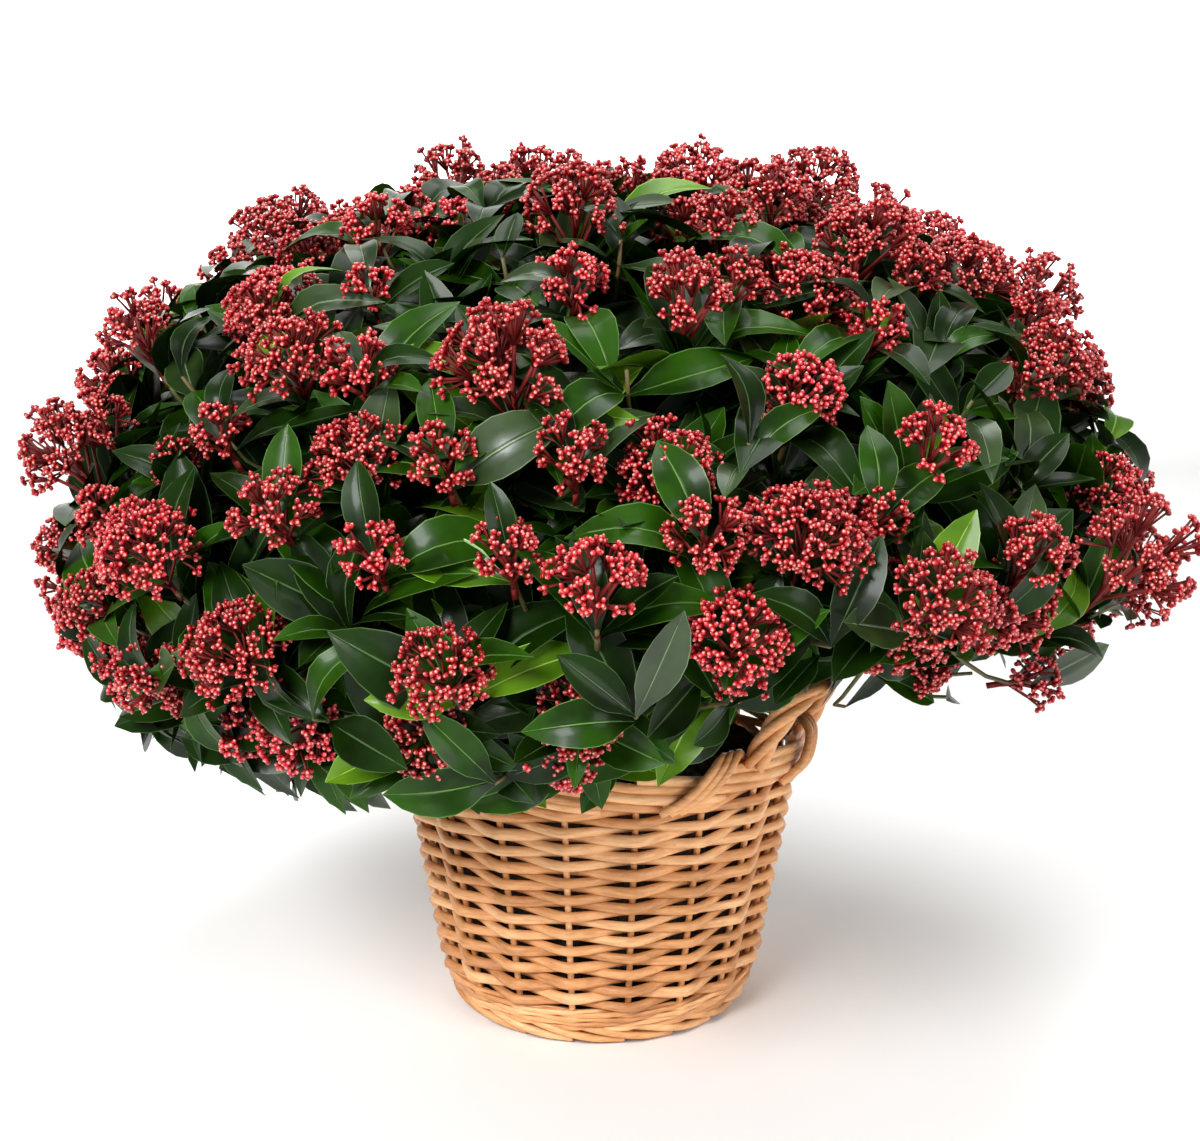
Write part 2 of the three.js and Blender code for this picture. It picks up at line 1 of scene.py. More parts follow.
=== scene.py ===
# %% [markdown]
# # A flowering skimmia in a willow basket
# The plant is a broad dome of evergreen shoots. Each shoot ends in a loose head of crimson buds, with
# leathery leaves spread under it, and the whole stands in a round basket of woven willow rods with two
# ear handles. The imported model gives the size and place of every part, so it is loaded first. The looks
# are built around it in the same frame, in metres.

import math

import bmesh
import bpy
import numpy as np
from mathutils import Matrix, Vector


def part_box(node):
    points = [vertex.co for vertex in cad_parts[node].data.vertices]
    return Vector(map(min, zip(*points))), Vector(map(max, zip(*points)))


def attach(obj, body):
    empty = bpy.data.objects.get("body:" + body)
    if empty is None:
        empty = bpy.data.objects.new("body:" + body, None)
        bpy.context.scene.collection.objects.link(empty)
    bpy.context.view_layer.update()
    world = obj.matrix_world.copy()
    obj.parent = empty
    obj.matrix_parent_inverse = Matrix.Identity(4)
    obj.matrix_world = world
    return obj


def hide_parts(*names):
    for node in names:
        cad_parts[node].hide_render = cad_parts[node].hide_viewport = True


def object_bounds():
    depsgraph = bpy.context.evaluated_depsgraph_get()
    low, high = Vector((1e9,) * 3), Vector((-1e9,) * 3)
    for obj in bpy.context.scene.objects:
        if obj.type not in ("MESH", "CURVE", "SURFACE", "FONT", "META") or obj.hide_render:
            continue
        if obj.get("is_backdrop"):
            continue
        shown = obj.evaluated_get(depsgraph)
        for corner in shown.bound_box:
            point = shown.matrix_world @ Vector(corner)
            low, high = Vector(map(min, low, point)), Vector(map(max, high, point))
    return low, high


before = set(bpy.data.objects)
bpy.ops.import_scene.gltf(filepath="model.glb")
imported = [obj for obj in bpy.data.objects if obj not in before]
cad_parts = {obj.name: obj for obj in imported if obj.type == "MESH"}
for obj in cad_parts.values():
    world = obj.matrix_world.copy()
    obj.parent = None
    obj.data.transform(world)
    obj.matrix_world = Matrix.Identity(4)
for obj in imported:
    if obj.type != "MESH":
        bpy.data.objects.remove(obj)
bpy.ops.object.select_all(action="DESELECT")
cad_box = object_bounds()
print("nodes:", len(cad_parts), "size:", [round(high - low, 3) for low, high in zip(*cad_box)])

# %% [markdown]
# ## Camera, floor and light
# The view is from a little above the plant, a good step away. A long lens keeps the basket's sides nearly
# straight. The floor is one pale plane with a low round wall far behind it, which a lamp of its own makes
# white. The plant is lit from the left and from above by large area lamps, because small lamps would
# leave hard shadows between leaves.

# %% Camera
CAMERA_PLACE = (0, -1.35, 0.615)
CAMERA_TILT = math.radians(76.7)
CAMERA_LENS = 62.3

bpy.ops.object.camera_add(location=CAMERA_PLACE, rotation=(CAMERA_TILT, 0, 0))
camera = bpy.context.object
camera.data.lens = CAMERA_LENS
bpy.context.scene.camera = camera
print("camera lens:", camera.data.lens, "mm")

# %% Floor and lamps
FLOOR_SIDE, FLOOR_DROP = 30, 0.0005
BACKDROP_RADIUS, BACKDROP_HEIGHT, BACKDROP_FOOT = 7, 1.6, -0.01
LAMPS = {
    "key": {"place": (-1.2, -2.2, 1.9), "side": 1.0, "power": 102},
    "fill": {"place": (2.2, -1.9, 1.2), "side": 1.6, "power": 40},
    "top": {"place": (0.2, 0.4, 2.4), "side": 1.4, "power": 36},
    "back": {"place": (-0.6, 2.4, 1.5), "side": 2.0, "power": 26},
    "backdrop": {"place": (0, 4.2, 2.6), "side": 3.0, "power": 420, "aim": (0, 7, 0.2)},
}
LAMP_AIM = (0, 0, 0.3)  # where lamps without an aim of their own point
WORLD_LIGHT = 0.27
bpy.context.scene.view_settings.view_transform = "Standard"

bpy.ops.mesh.primitive_plane_add(size=FLOOR_SIDE, location=(0, 0, -FLOOR_DROP))
floor = bpy.context.object
floor.name = "floor"
floor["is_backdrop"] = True
bpy.ops.mesh.primitive_cylinder_add(
    vertices=128,
    radius=BACKDROP_RADIUS,
    depth=BACKDROP_HEIGHT,
    end_fill_type="NOTHING",
    location=(0, 0, BACKDROP_HEIGHT / 2 + BACKDROP_FOOT),
)
backdrop = bpy.context.object
backdrop.name = "backdrop"
bpy.ops.object.shade_smooth()
backdrop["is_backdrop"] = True

for name, lamp in LAMPS.items():
    bpy.ops.object.light_add(type="AREA", location=lamp["place"])
    light = bpy.context.object
    light.name = f"lamp_{name}"
    light.data.size = lamp["side"]
    light.data.energy = lamp["power"]
    towards = np.subtract(lamp.get("aim", LAMP_AIM), lamp["place"])
    light.rotation_mode = "QUATERNION"
    light.rotation_quaternion = Vector(towards).to_track_quat("-Z", "Y")

world = bpy.data.worlds.new("studio")
bpy.context.scene.world = world
world.use_nodes = True
sky = world.node_tree.nodes["Background"].inputs
sky["Color"].default_value = (1, 1, 1, 1)
sky["Strength"].default_value = WORLD_LIGHT
print("lamps:", len(LAMPS))

# %% [markdown]
# ## Sums on surfaces
# A finish is more than one colour: willow has streaks, leaves have a pale rib, bark has ridges. Such
# patterns are sums of noise and of places on the surface. Wrapping a node's output in a small class lets
# those sums be written as plain Python, and each sign then adds its Math node.


# %% A value that varies over a surface
class Value:
    """An output of a node. Sums written with it add Math nodes to its finish."""

    def __init__(self, finish, socket):
        self.finish = finish
        self.socket = socket

    def math(self, operation, *terms):
        return self.finish.node("ShaderNodeMath", {"operation": operation}, dict(enumerate(terms)))

    def __add__(self, other):
        return self.math("ADD", self, other)

    def __sub__(self, other):
        return self.math("SUBTRACT", self, other)

    def __rsub__(self, other):
        return self.math("SUBTRACT", other, self)

    def __mul__(self, other):
        return self.math("MULTIPLY", self, other)

    __radd__ = __add__
    __rmul__ = __mul__

    def size(self):
        return self.math("ABSOLUTE", self)

    def from_to(self, start, end):
        """0 where this value is at start, 1 where it is at end, and smooth between."""
        settings = {"interpolation_type": "SMOOTHSTEP"}
        return self.finish.node("ShaderNodeMapRange", settings, {0: self, 1: start, 2: end})


print("values can be added, taken away and multiplied")

# %% A finish made of such values
MIX_FIRST, MIX_SECOND, MIX_RESULT = 6, 7, 2  # the Mix node's sockets for colours


def light_of(red, green, blue):
    """A colour given in the 0 to 255 steps of a screen, as the amounts of light that shaders use."""
    shares = [step / 255 for step in (red, green, blue)]
    return (*[s / 12.92 if s <= 0.04045 else ((s + 0.055) / 1.055) ** 2.4 for s in shares], 1)


class Finish:
    """A material with the nodes of its pattern."""

    def __init__(self, name, **sockets):
        self.material = bpy.data.materials.new(name)
        self.material.use_nodes = True
        self.tree = self.material.node_tree
        self.shader = self.tree.nodes["Principled BSDF"]
        self.set(**sockets)

    def feed(self, socket, value):
        if isinstance(value, Value):
            self.tree.links.new(value.socket, socket)
        else:
            socket.default_value = value

    def node(self, kind, settings, sockets, output=0):
        made = self.tree.nodes.new(kind)
        for key, value in settings.items():
            setattr(made, key, value)
        for key, value in sockets.items():
            self.feed(made.inputs[key], value)
        return Value(self, made.outputs[output])

    def set(self, **sockets):
        plain = {socket.name.lower().replace(" ", "_"): socket for socket in self.shader.inputs}
        for name, value in sockets.items():
            self.feed(plain[name], value)

    def noise(self, scale, stretch=(1, 1, 1), detail=3):
        """Soft noise from 0 to 1 at so many patches to the metre, denser along an axis that is stretched."""
        place = self.node("ShaderNodeTexCoord", {}, {}, "Object")
        turned = self.node("ShaderNodeMapping", {}, {"Vector": place, "Scale": stretch})
        return self.node("ShaderNodeTexNoise", {}, {"Vector": turned, "Scale": scale, "Detail": detail})

    def mark(self, letter):
        """One of the two numbers that every point of a leaf or a bud carries."""
        marks = self.node("ShaderNodeUVMap", {"uv_map": "marks"}, {})
        return self.node("ShaderNodeSeparateXYZ", {}, {"Vector": marks}, letter)

    def blend(self, share, *colours):
        """From one colour to another as share goes from 0 to 1. Plain colours are in a screen's steps."""
        first, second = (c if isinstance(c, Value) else light_of(*c) for c in colours)
        sockets = {0: share, MIX_FIRST: first, MIX_SECOND: second}
        return self.node("ShaderNodeMix", {"data_type": "RGBA"}, sockets, MIX_RESULT)

    def relief(self, height, depth):
        """A bump of so many metres where height goes from 0 to 1."""
        bump = self.node("ShaderNodeBump", {}, {"Height": height, "Distance": depth})
        self.set(normal=bump)


floor_finish = Finish("studio_floor", base_color=(0.92, 0.92, 0.91, 1), roughness=0.9)
for surface in (floor, backdrop):
    surface.data.materials.append(floor_finish.material)
print("finish:", floor_finish.material.name)

# %% [markdown]
# ## From arrays to meshes
# A plant repeats a few shapes thousands of times. Each shape is modelled once. Its copies are then
# worked out as arrays of places, turned and sized, and joined into one mesh, because thousands of
# separate objects would be slow and hard to hand on. Sizes below are in millimetres until a mesh is made.

# %% Joining shapes into a piece
MM = 0.001
ANY_TURN = (0, 6)  # radians


class Heap:
    """Points and faces that become one piece."""

    def __init__(self):
        self.points = []
        self.marks = []
        self.faces = {}
        self.count = 0

    def add(self, points, faces, marks=None):
        self.points.append(points)
        self.marks.append(np.zeros((len(points), 2)) if marks is None else marks)
        for rows in faces:
            self.faces.setdefault(rows.shape[1], []).append(rows + self.count)
        self.count += len(points)

    def piece(self, name, finish, slot, *replaced, cut_ends=False):
        """Makes the mesh, with marks as its UV map, and hides the nodes it stands for."""
        rows = [np.concatenate(group) for group in self.faces.values()]
        corners = np.concatenate([group.ravel() for group in rows]).astype(np.int32)
        sizes = np.concatenate([np.full(len(group), group.shape[1]) for group in rows])
        starts = np.concatenate([[0], np.cumsum(sizes)[:-1]]).astype(np.int32)
        mesh = bpy.data.meshes.new(name)
        mesh.vertices.add(self.count)
        mesh.vertices.foreach_set("co", (np.concatenate(self.points) * MM).ravel())
        mesh.loops.add(len(corners))
        mesh.loops.foreach_set("vertex_index", corners)
        mesh.polygons.add(len(sizes))
        mesh.polygons.foreach_set("loop_start", starts)
        mesh.update(calc_edges=True)
        mesh.shade_smooth()
        if cut_ends:
            mesh.set_sharp_from_angle(angle=math.radians(60))
        places = mesh.uv_layers.new(name="marks")
        places.data.foreach_set("uv", np.concatenate(self.marks)[corners].astype(np.float32).ravel())
        mesh.materials.append(finish.material)
        made = bpy.data.objects.new(name, mesh)
        bpy.context.collection.objects.link(made)
        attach(made, "root")
        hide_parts(*replaced)
        print(name, "triangles:", int((sizes - 2).sum()))


def units(rows):
    return rows / np.linalg.norm(rows, axis=-1, keepdims=True)


def square_to(way):
    """Two directions at right angles to a way and to each other."""
    across = units(np.cross((1.0, 0.0, 0.0), way))
    return across, np.cross(way, across)


# %% Sweeping a round section along a path
def sweep(path, radii, sides, closed=False, squash=1.0, lumps=None):
    """A rod along a path. Its sections are turned with the path without twist, and its ends are flat."""
    path = np.asarray(path, float)
    count = len(path)
    radii = np.broadcast_to(radii, count)
    ahead = np.roll(path, -1, 0) - np.roll(path, 1, 0)
    if not closed:
        ahead[0] = path[1] - path[0]
        ahead[-1] = path[-1] - path[-2]
    ahead = units(ahead)
    if closed:
        over = np.tile((0.0, 0.0, 1.0), (count, 1))
    else:
        first = np.cross(ahead[0], (0.0, 0.0, 1.0))
        over = np.zeros_like(path)
        over[0] = (1.0, 0.0, 0.0) if np.linalg.norm(first) < 0.1 else np.cross(first, ahead[0])
        for index in range(1, count):
            over[index] = over[index - 1]
            over[index] -= ahead[index] * (over[index] @ ahead[index])
    over = units(over - ahead * (over * ahead).sum(1, keepdims=True))
    aside = np.cross(ahead, over)
    turn = 2 * np.pi * np.arange(sides) / sides
    reach = radii[:, None] * (1 if lumps is None else lumps)
    points = (
        path[:, None]
        + aside[:, None] * (reach * np.cos(turn) * squash)[..., None]
        + over[:, None] * (reach * np.sin(turn))[..., None]
    ).reshape(-1, 3)
    row = np.arange(count if closed else count - 1)[:, None] * sides
    side = np.arange(sides)[None]
    a = row + side
    b = row + (side + 1) % sides
    wrap = count * sides
    quads = np.stack([a, b, (b + sides) % wrap, (a + sides) % wrap], -1).reshape(-1, 4)
    run = np.concatenate([[0], np.cumsum(np.linalg.norm(np.diff(path, axis=0), axis=1))])
    marks = np.stack([np.tile(turn / (2 * np.pi), count), np.repeat(run, sides) * MM], 1)
    if closed:
        return points, [quads], marks
    ends = np.stack([np.arange(sides)[::-1], np.arange(sides) + (count - 1) * sides])
    return points, [quads, ends], marks


def smooth_path(knots, steps):
    """A Catmull-Rom curve through knots."""
    knots = np.asarray(knots, float)
    padded = np.vstack([2 * knots[0] - knots[1], knots, 2 * knots[-1] - knots[-2]])
    share = np.linspace(0, len(knots) - 1, steps)
    index = np.minimum(share.astype(int), len(knots) - 2)
    t = (share - index)[:, None]
    p0, p1, p2, p3 = (padded[index + k] for k in range(4))
    bend = 2 * p0 - 5 * p1 + 4 * p2 - p3
    twist = 3 * (p1 - p2) + p3 - p0
    return (2 * p1 + (p2 - p0) * t + bend * t**2 + twist * t**3) / 2


def crossings(ways):
    """Two directions at right angles to each of many ways and to each other."""
    helper = np.where(np.abs(ways[..., 2:3]) > 0.9, (1.0, 0.0, 0.0), (0.0, 0.0, 1.0))
    across = units(np.cross(helper, ways))
    return across, np.cross(ways, across)


print("heap and sweep ready")

# %% [markdown]
# ## The basket's wall
# The basket starts from eighteen upright stakes. Weaver rods pass in front of one stake and behind the
# next, and each row does the opposite of the row below it, which basket makers call randing. A painted
# relief would stay flat at the outline, so every row is a real rod here: a closed ring of rod whose
# distance from the middle swings between the front and the back of the stakes.

# %% Sizes of the basket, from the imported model
STAKES = 18
_, basket_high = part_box("basket")
BASKET_HEIGHT = basket_high.z / MM
BORDER_RADIUS = basket_high.x / MM
RIM_RADIUS = BORDER_RADIUS - 7
UNDERSIDE_RADIUS = 92
FOOT_RADIUS = 104
UPSET_HEIGHT = 26  # below it the wall curves in to the underside
STAKE_LINE = 4.8  # the stakes' middle line is this far inside the wall's face
STAKE_RADIUS = 2.1
BASKET_SEED = 41
basket_random = np.random.default_rng(BASKET_SEED)


def wall_radius(height):
    straight = FOOT_RADIUS + (RIM_RADIUS - FOOT_RADIUS) * height / BASKET_HEIGHT
    below = np.maximum(0, 1 - height / UPSET_HEIGHT)
    return straight - (FOOT_RADIUS - UNDERSIDE_RADIUS) * below**2


def around(angle, radius, height):
    return np.stack([radius * np.cos(angle), radius * np.sin(angle), height + 0 * angle], -1)


print("basket:", round(BASKET_HEIGHT), "mm high,", round(2 * BORDER_RADIUS), "mm across")

# %% Willow finishes
WILLOWS = {
    "honey": ((232, 170, 112), (198, 134, 80)),
    "straw": ((242, 188, 134), (212, 152, 98)),
    "tan": ((214, 150, 94), (172, 112, 62)),
}
WILLOW_STAIN = (118, 70, 36)


def willow_finish(name, light, dark):
    finish = Finish(f"willow_{name}", roughness=0.48, coat_weight=0.12, coat_roughness=0.35)
    streaks = finish.noise(260, stretch=(0.35, 0.35, 2.2), detail=5)
    patches = finish.noise(24, detail=2)
    specks = finish.noise(620, stretch=(0.6, 0.6, 1.4), detail=2)
    body = finish.blend((streaks * 0.7 + patches * 0.5).from_to(0.42, 0.82), light, dark)
    stained = finish.blend(specks.from_to(0.68, 0.8) * 0.5, body, WILLOW_STAIN)
    finish.set(base_color=stained)
    finish.relief(streaks, 0.0007)
    return finish


willows = [willow_finish(name, *tones) for name, tones in WILLOWS.items()]
wall_heaps = [Heap() for _ in willows]
print("willow finishes:", len(willows))

# %% Weaver rods
WEAVER_PITCH = 6.1
WEAVER_RADII, WEAVER_SQUASH = (3.45, 3.9), 0.82
WEAVER_TAPER, WEAVER_SLIMMING = 0.1, 0.12  # along the rod, and where it is pressed behind a stake
WEAVER_WOBBLE = 0.45
WEAVER_BEND = 0.94  # nearer to 1, a rod runs straighter from stake to stake
WEAVER_SHARES = (0.5, 0.3, 0.2)  # of the rows, for each shade of willow
WEAVE_FOOT, WEAVE_TOP, WEAVE_SWING = 30.5, 184, 5.3
RIM_WEAVE, RIM_SWING = 172, 2.2  # the last rows lie tight under the border
ROD_STEPS, ROD_SIDES = 8, 8  # sections of rod from one stake to the next, and sides of a section
RING_STEPS = STAKES * ROD_STEPS


def straight_between_stakes(angle):
    """How far a chord between two stakes lies inside the circle through them."""
    half = math.pi / STAKES
    return math.cos(half) / np.cos(np.mod(angle, 2 * half) - half)


ring_angles = 2 * math.pi * np.arange(RING_STEPS) / RING_STEPS
row_count = 1 + int((WEAVE_TOP - WEAVE_FOOT) / WEAVER_PITCH)
for row in range(row_count):
    height = WEAVE_FOOT + row * WEAVER_PITCH
    wobble = WEAVER_WOBBLE * np.sin(ring_angles * 2 + basket_random.uniform(*ANY_TURN))
    swing = np.arcsin(WEAVER_BEND * np.cos(STAKES / 2 * ring_angles + math.pi * row))
    swing = swing / math.asin(WEAVER_BEND)
    radius = (wall_radius(height) - STAKE_LINE) * straight_between_stakes(ring_angles)
    rod = basket_random.uniform(*WEAVER_RADII)
    taper = 1 + WEAVER_TAPER * np.sin(ring_angles + basket_random.uniform(*ANY_TURN))
    taper = taper - WEAVER_SLIMMING * (1 - swing)
    reach = WEAVE_SWING if height < RIM_WEAVE else RIM_SWING
    path = around(ring_angles, radius + reach * swing, height + wobble)
    heap = wall_heaps[basket_random.choice(len(wall_heaps), p=WEAVER_SHARES)]
    heap.add(*sweep(path, rod * taper, ROD_SIDES, closed=True, squash=WEAVER_SQUASH))
print("rows of weavers:", row_count)

# %% Stakes
STAKE_FOOT, STAKE_END = 6, BASKET_HEIGHT - 22
stake_heights = np.linspace(STAKE_FOOT, STAKE_END, 16)
for stake in range(STAKES):
    angle = 2 * math.pi * stake / STAKES + 0 * stake_heights
    path = around(angle, wall_radius(stake_heights) - STAKE_LINE, stake_heights)
    wall_heaps[stake % 3].add(*sweep(path, STAKE_RADIUS, 8))
print("stakes:", STAKES)

# %% [markdown]
# ## Foot and rim
# Below the weave lie a few thin rows of waling, where three rods at a time pass before two stakes and
# behind the third, which looks like a twisted cord. At the foot and at the rim the stakes themselves are
# bent sideways and laid over each other, and each ends in a clean cut. One bent rod is worked out and
# repeated at every stake, a little unevenly.

# %% Waling above the foot
WALE_HEIGHTS = (13.5, 17.2, 20.9, 24.6)
WALE_RADIUS = 1.8
WALE_OUT, WALE_SWING, WALE_LIFT = 1.4, 2.7, 1.1  # past the stakes' line, in and out, up and down
for row, height in enumerate(WALE_HEIGHTS):
    for strand in range(3):
        phase = ring_angles * STAKES / 3 + 2 * math.pi * (strand + row / 2) / 3
        radius = (wall_radius(height) - STAKE_LINE + WALE_OUT) * straight_between_stakes(ring_angles)
        out, up = radius + WALE_SWING * np.cos(phase), height + WALE_LIFT * np.sin(phase)
        path = around(ring_angles, out, up)
        wall_heaps[(row + strand) % 3].add(*sweep(path, WALE_RADIUS, 6, closed=True))
print("waling rows:", len(WALE_HEIGHTS))

# %% Foot border and rim border
# Each knot is (share of the rod's sweep, distance outside the wall's face, height)
FOOT_SWEEP, FOOT_ROD = math.radians(40), 2.9
FOOT_KNOTS = ((0, -6, 15), (0.2, -2.5, 12.5), (0.45, 0.3, 8.6), (0.7, 0.8, 4.4), (1, 0.2, 3.1))
RIM_SWEEP, RIM_ROD = math.radians(68), 3.4
BORDER_SHARES = (0.45, 0.4, 0.15)  # of the border's rods, for each shade of willow
BORDER_SHIFT, BORDER_STRETCH = 0.012, 0.015  # how unevenly the rods start, in radians, and how long they are
BORDER_TAPER, BORDER_SIZES = (1.04, 0.92), (0.93, 1.05)
RIM_KNOTS = (
    (0, -3.2, 192.6),
    (0.15, -2.2, 191.4),
    (0.3, 0, 188.4),
    (0.6, 2.8, 183),
    (0.86, 2.6, 178),
    (1, -5, 173),
)


def border_rods(knots, sweep_angle, rod, steps):
    shares, outs, heights = np.array(knots).T
    for stake in range(STAKES):
        start = 2 * math.pi * stake / STAKES + basket_random.normal(0, BORDER_SHIFT)
        length = 1 + basket_random.normal(0, BORDER_STRETCH)
        angles = start + shares * sweep_angle * length
        base = wall_radius(np.minimum(heights, BASKET_HEIGHT))
        path = smooth_path(around(angles, base + outs, heights), steps)
        thickness = rod * np.linspace(*BORDER_TAPER, steps) * basket_random.uniform(*BORDER_SIZES)
        wall_heaps[basket_random.choice(3, p=BORDER_SHARES)].add(*sweep(path, thickness, 10))


border_rods(FOOT_KNOTS, FOOT_SWEEP, FOOT_ROD, 16)
border_rods(RIM_KNOTS, RIM_SWEEP, RIM_ROD, 28)
print("border rods:", 2 * STAKES)

# %% Base
# Sticks cross under the floor, and rods are woven round them in rings
BASE_HEIGHT, BASE_STICKS, BASE_ROD = 5.2, 9, 2.3
BASE_RINGS, BASE_SWING = np.arange(8, UNDERSIDE_RADIUS, 4.1), 1.3
for stick in range(BASE_STICKS):
    angle = math.pi * stick / BASE_STICKS
    ends = around(np.array([angle, angle + math.pi]), UNDERSIDE_RADIUS - 3, BASE_HEIGHT)
    wall_heaps[stick % 3].add(*sweep(ends, BASE_ROD, 8))
for ring, radius in enumerate(BASE_RINGS):
    swing = BASE_SWING * np.cos(STAKES / 2 * ring_angles + math.pi * ring)
    path = around(ring_angles, radius + 0 * ring_angles, BASE_HEIGHT + swing)
    wall_heaps[ring % 3].add(*sweep(path, BASE_ROD, 6, closed=True))

for name, finish, heap in zip(WILLOWS, willows, wall_heaps):
    heap.piece(f"basket_{name}", finish, "willow", "basket", cut_ends=True)

# %% [markdown]
# ## Ear handles
# Each handle is a rope of four rods twisted together, which stands on the rim as an arch. At each
# foot, three rods are wrapped over the border and end in the wall. Every strand is a helix round the
# arch's middle line, so the rope has true grooves.

# %% Handles
HANDLE_AZIMUTH = -24  # degrees, of the right handle; the left one stands opposite
HANDLE_HALF_SPAN = math.radians(21)
HANDLE_RISE, HANDLE_RADIUS, HANDLE_LEAN = 50, 140, 22
STRANDS, STRAND_RADIUS, STRAND_OFFSET, STRAND_TURNS = 4, 3.4, 4.9, 2.1
ROPE_ENDS, ROPE_STEPS = (-0.02, 1.02), 64  # the strands' ends lie inside the border
WRAPS, WRAP_RADIUS = 3, 2.9
WRAP_STEP, WRAP_LEAN = math.radians(2.6), math.radians(4.4)
# Each knot is (distance outside the rim's radius, height over the rim)
WRAP_KNOTS = ((-9, -14), (-7, 2), (0, 6.5), (7, 3), (9.2, -6), (8, -15), (0, -24))


def rope_line(azimuth, share):
    """The arch's middle line, from one foot at share 0 to the other at 1."""
    rise = np.sin(math.pi * share)
    angle = azimuth - HANDLE_HALF_SPAN * np.cos(math.pi * share)
    return around(angle, HANDLE_RADIUS + HANDLE_LEAN * rise, BASKET_HEIGHT + HANDLE_RISE * rise)


def handle(name, azimuth):
    heap = Heap()
    share = np.linspace(*ROPE_ENDS, ROPE_STEPS)
    line = rope_line(azimuth, share)
    ahead = units(np.gradient(line, axis=0))
    out = units(line * (1, 1, 0))
    across = units(out - ahead * (out * ahead).sum(1, keepdims=True))
    over = np.cross(ahead, across)
    for strand in range(STRANDS):
        turn = (2 * math.pi * (share * STRAND_TURNS + strand / STRANDS))[:, None]
        path = line + STRAND_OFFSET * (across * np.cos(turn) + over * np.sin(turn))
        heap.add(*sweep(path, STRAND_RADIUS, 8))
    for foot in (-1, 1):
        for wrap in range(WRAPS):
            angle = azimuth + foot * (HANDLE_HALF_SPAN + WRAP_STEP * (wrap - 1))
            knots = [
                around(np.array(angle - WRAP_LEAN * place), RIM_RADIUS + out_by, BASKET_HEIGHT + up_by)
                for place, (out_by, up_by) in enumerate(WRAP_KNOTS)
            ]
            heap.add(*sweep(smooth_path(knots, 22), WRAP_RADIUS, 8))
    heap.piece(f"{name}_rope", willows[0], "willow", name, cut_ends=True)


handle("handle_right", math.radians(HANDLE_AZIMUTH))
handle("handle_left", math.radians(HANDLE_AZIMUTH + 180))

# %% [markdown]
# ## Compost
# Dark compost fills the basket to a little below its rim. It shows through the weave only as near black
# and from above as crumbs. A disc of rings is lifted and dropped by seeded noise, and a fine bump adds
# the grain.

# %% Compost
_, compost_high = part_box("compost")
COMPOST_TOP = compost_high.z / MM
COMPOST_UNDERSIDE, COMPOST_INSET = 10.5, 14
COMPOST_SINK, COMPOST_CRUMB = 4, 1.3  # below the solid's top, and how uneven
COMPOST_RINGS, RING_STEP = 16, 0.055  # the step as a share of the radius
compost_random = np.random.default_rng(12)
compost_finish = Finish("moist_compost", roughness=0.95)
crumbs = compost_finish.noise(420, detail=6)
compost_finish.set(base_color=compost_finish.blend(crumbs.from_to(0.35, 0.7), (22, 14, 9), (66, 45, 30)))
compost_finish.relief(crumbs, 0.003)

bpy.ops.mesh.primitive_cylinder_add(vertices=72, radius=1, depth=1, end_fill_type="NGON")
drum = bpy.context.object
bpy.ops.object.mode_set(mode="EDIT")
bpy.ops.mesh.select_mode(type="FACE")
bpy.ops.mesh.select_all(action="DESELECT")
bpy.ops.object.mode_set(mode="OBJECT")
for face in drum.data.polygons:
    face.select = face.normal.z > 0.9
bpy.ops.object.mode_set(mode="EDIT")
for _ in range(COMPOST_RINGS):
    bpy.ops.mesh.inset(thickness=RING_STEP)
bpy.ops.object.mode_set(mode="OBJECT")
for vertex in drum.data.vertices:
    on_top = vertex.co.z > 0
    level = COMPOST_TOP - COMPOST_SINK if on_top else COMPOST_UNDERSIDE
    reach = wall_radius(np.array(level)) - COMPOST_INSET
    vertex.co.x *= reach * MM
    vertex.co.y *= reach * MM
    crumb = compost_random.normal(0, COMPOST_CRUMB) if on_top else 0
    vertex.co.z = (level + crumb) * MM
drum.name = "compost_surface"
drum.data.materials.append(compost_finish.material)
bpy.ops.object.shade_smooth_by_angle(angle=math.radians(50))
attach(drum, "root")
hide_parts("compost")
print("compost faces:", len(drum.data.polygons))

# %% [markdown]
# ## How the plant grows
# The boughs fork from one short stem, and each carries a stemlet, twigs and shoots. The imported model
# grew by a seeded rule: the same numbers in the same order give the same shoots here, so bud heads and
# twigs stand close to the solids' own. The rule is then carried on to finer shoots between and behind them.

# %% The crown's outline
GAP = 0.3
CROWN_LEVEL, CROWN_RADIUS, CROWN_RISE = 320, 372, 255
CROWN_DROP, CROWN_DROP_LEAN, CROWN_POWER = 138, 35, 2.2
APEX = np.array((0.0, 0.0, 215.0))
UP = np.array((0.0, 0.0, 1.0))
GOLDEN_ANGLE = math.pi * (3 - math.sqrt(5))


def between(ends, share):
    return ends[0] + (ends[1] - ends[0]) * share


def smoothstep(value, ends):
    share = np.clip((value - ends[0]) / (ends[1] - ends[0]), 0, 1)
    return share * share * (3 - 2 * share)


def polar(azimuth, elevation):
    turn, lift = math.radians(azimuth), math.radians(elevation)
    return np.array((math.cos(lift) * math.cos(turn), math.cos(lift) * math.sin(turn), math.sin(lift)))


def crown_level(points):
    """Below 1 inside the crown's outline, 1 on it and more outside."""
    out = np.hypot(points[..., 0], points[..., 1])
    lean = points[..., 0] / np.maximum(out, 1e-9)
    height = points[..., 2] - CROWN_LEVEL
    span = np.where(height > 0, CROWN_RISE, CROWN_DROP - CROWN_DROP_LEAN * lean)
    return (out / CROWN_RADIUS) ** CROWN_POWER + (np.abs(height) / span) ** CROWN_POWER


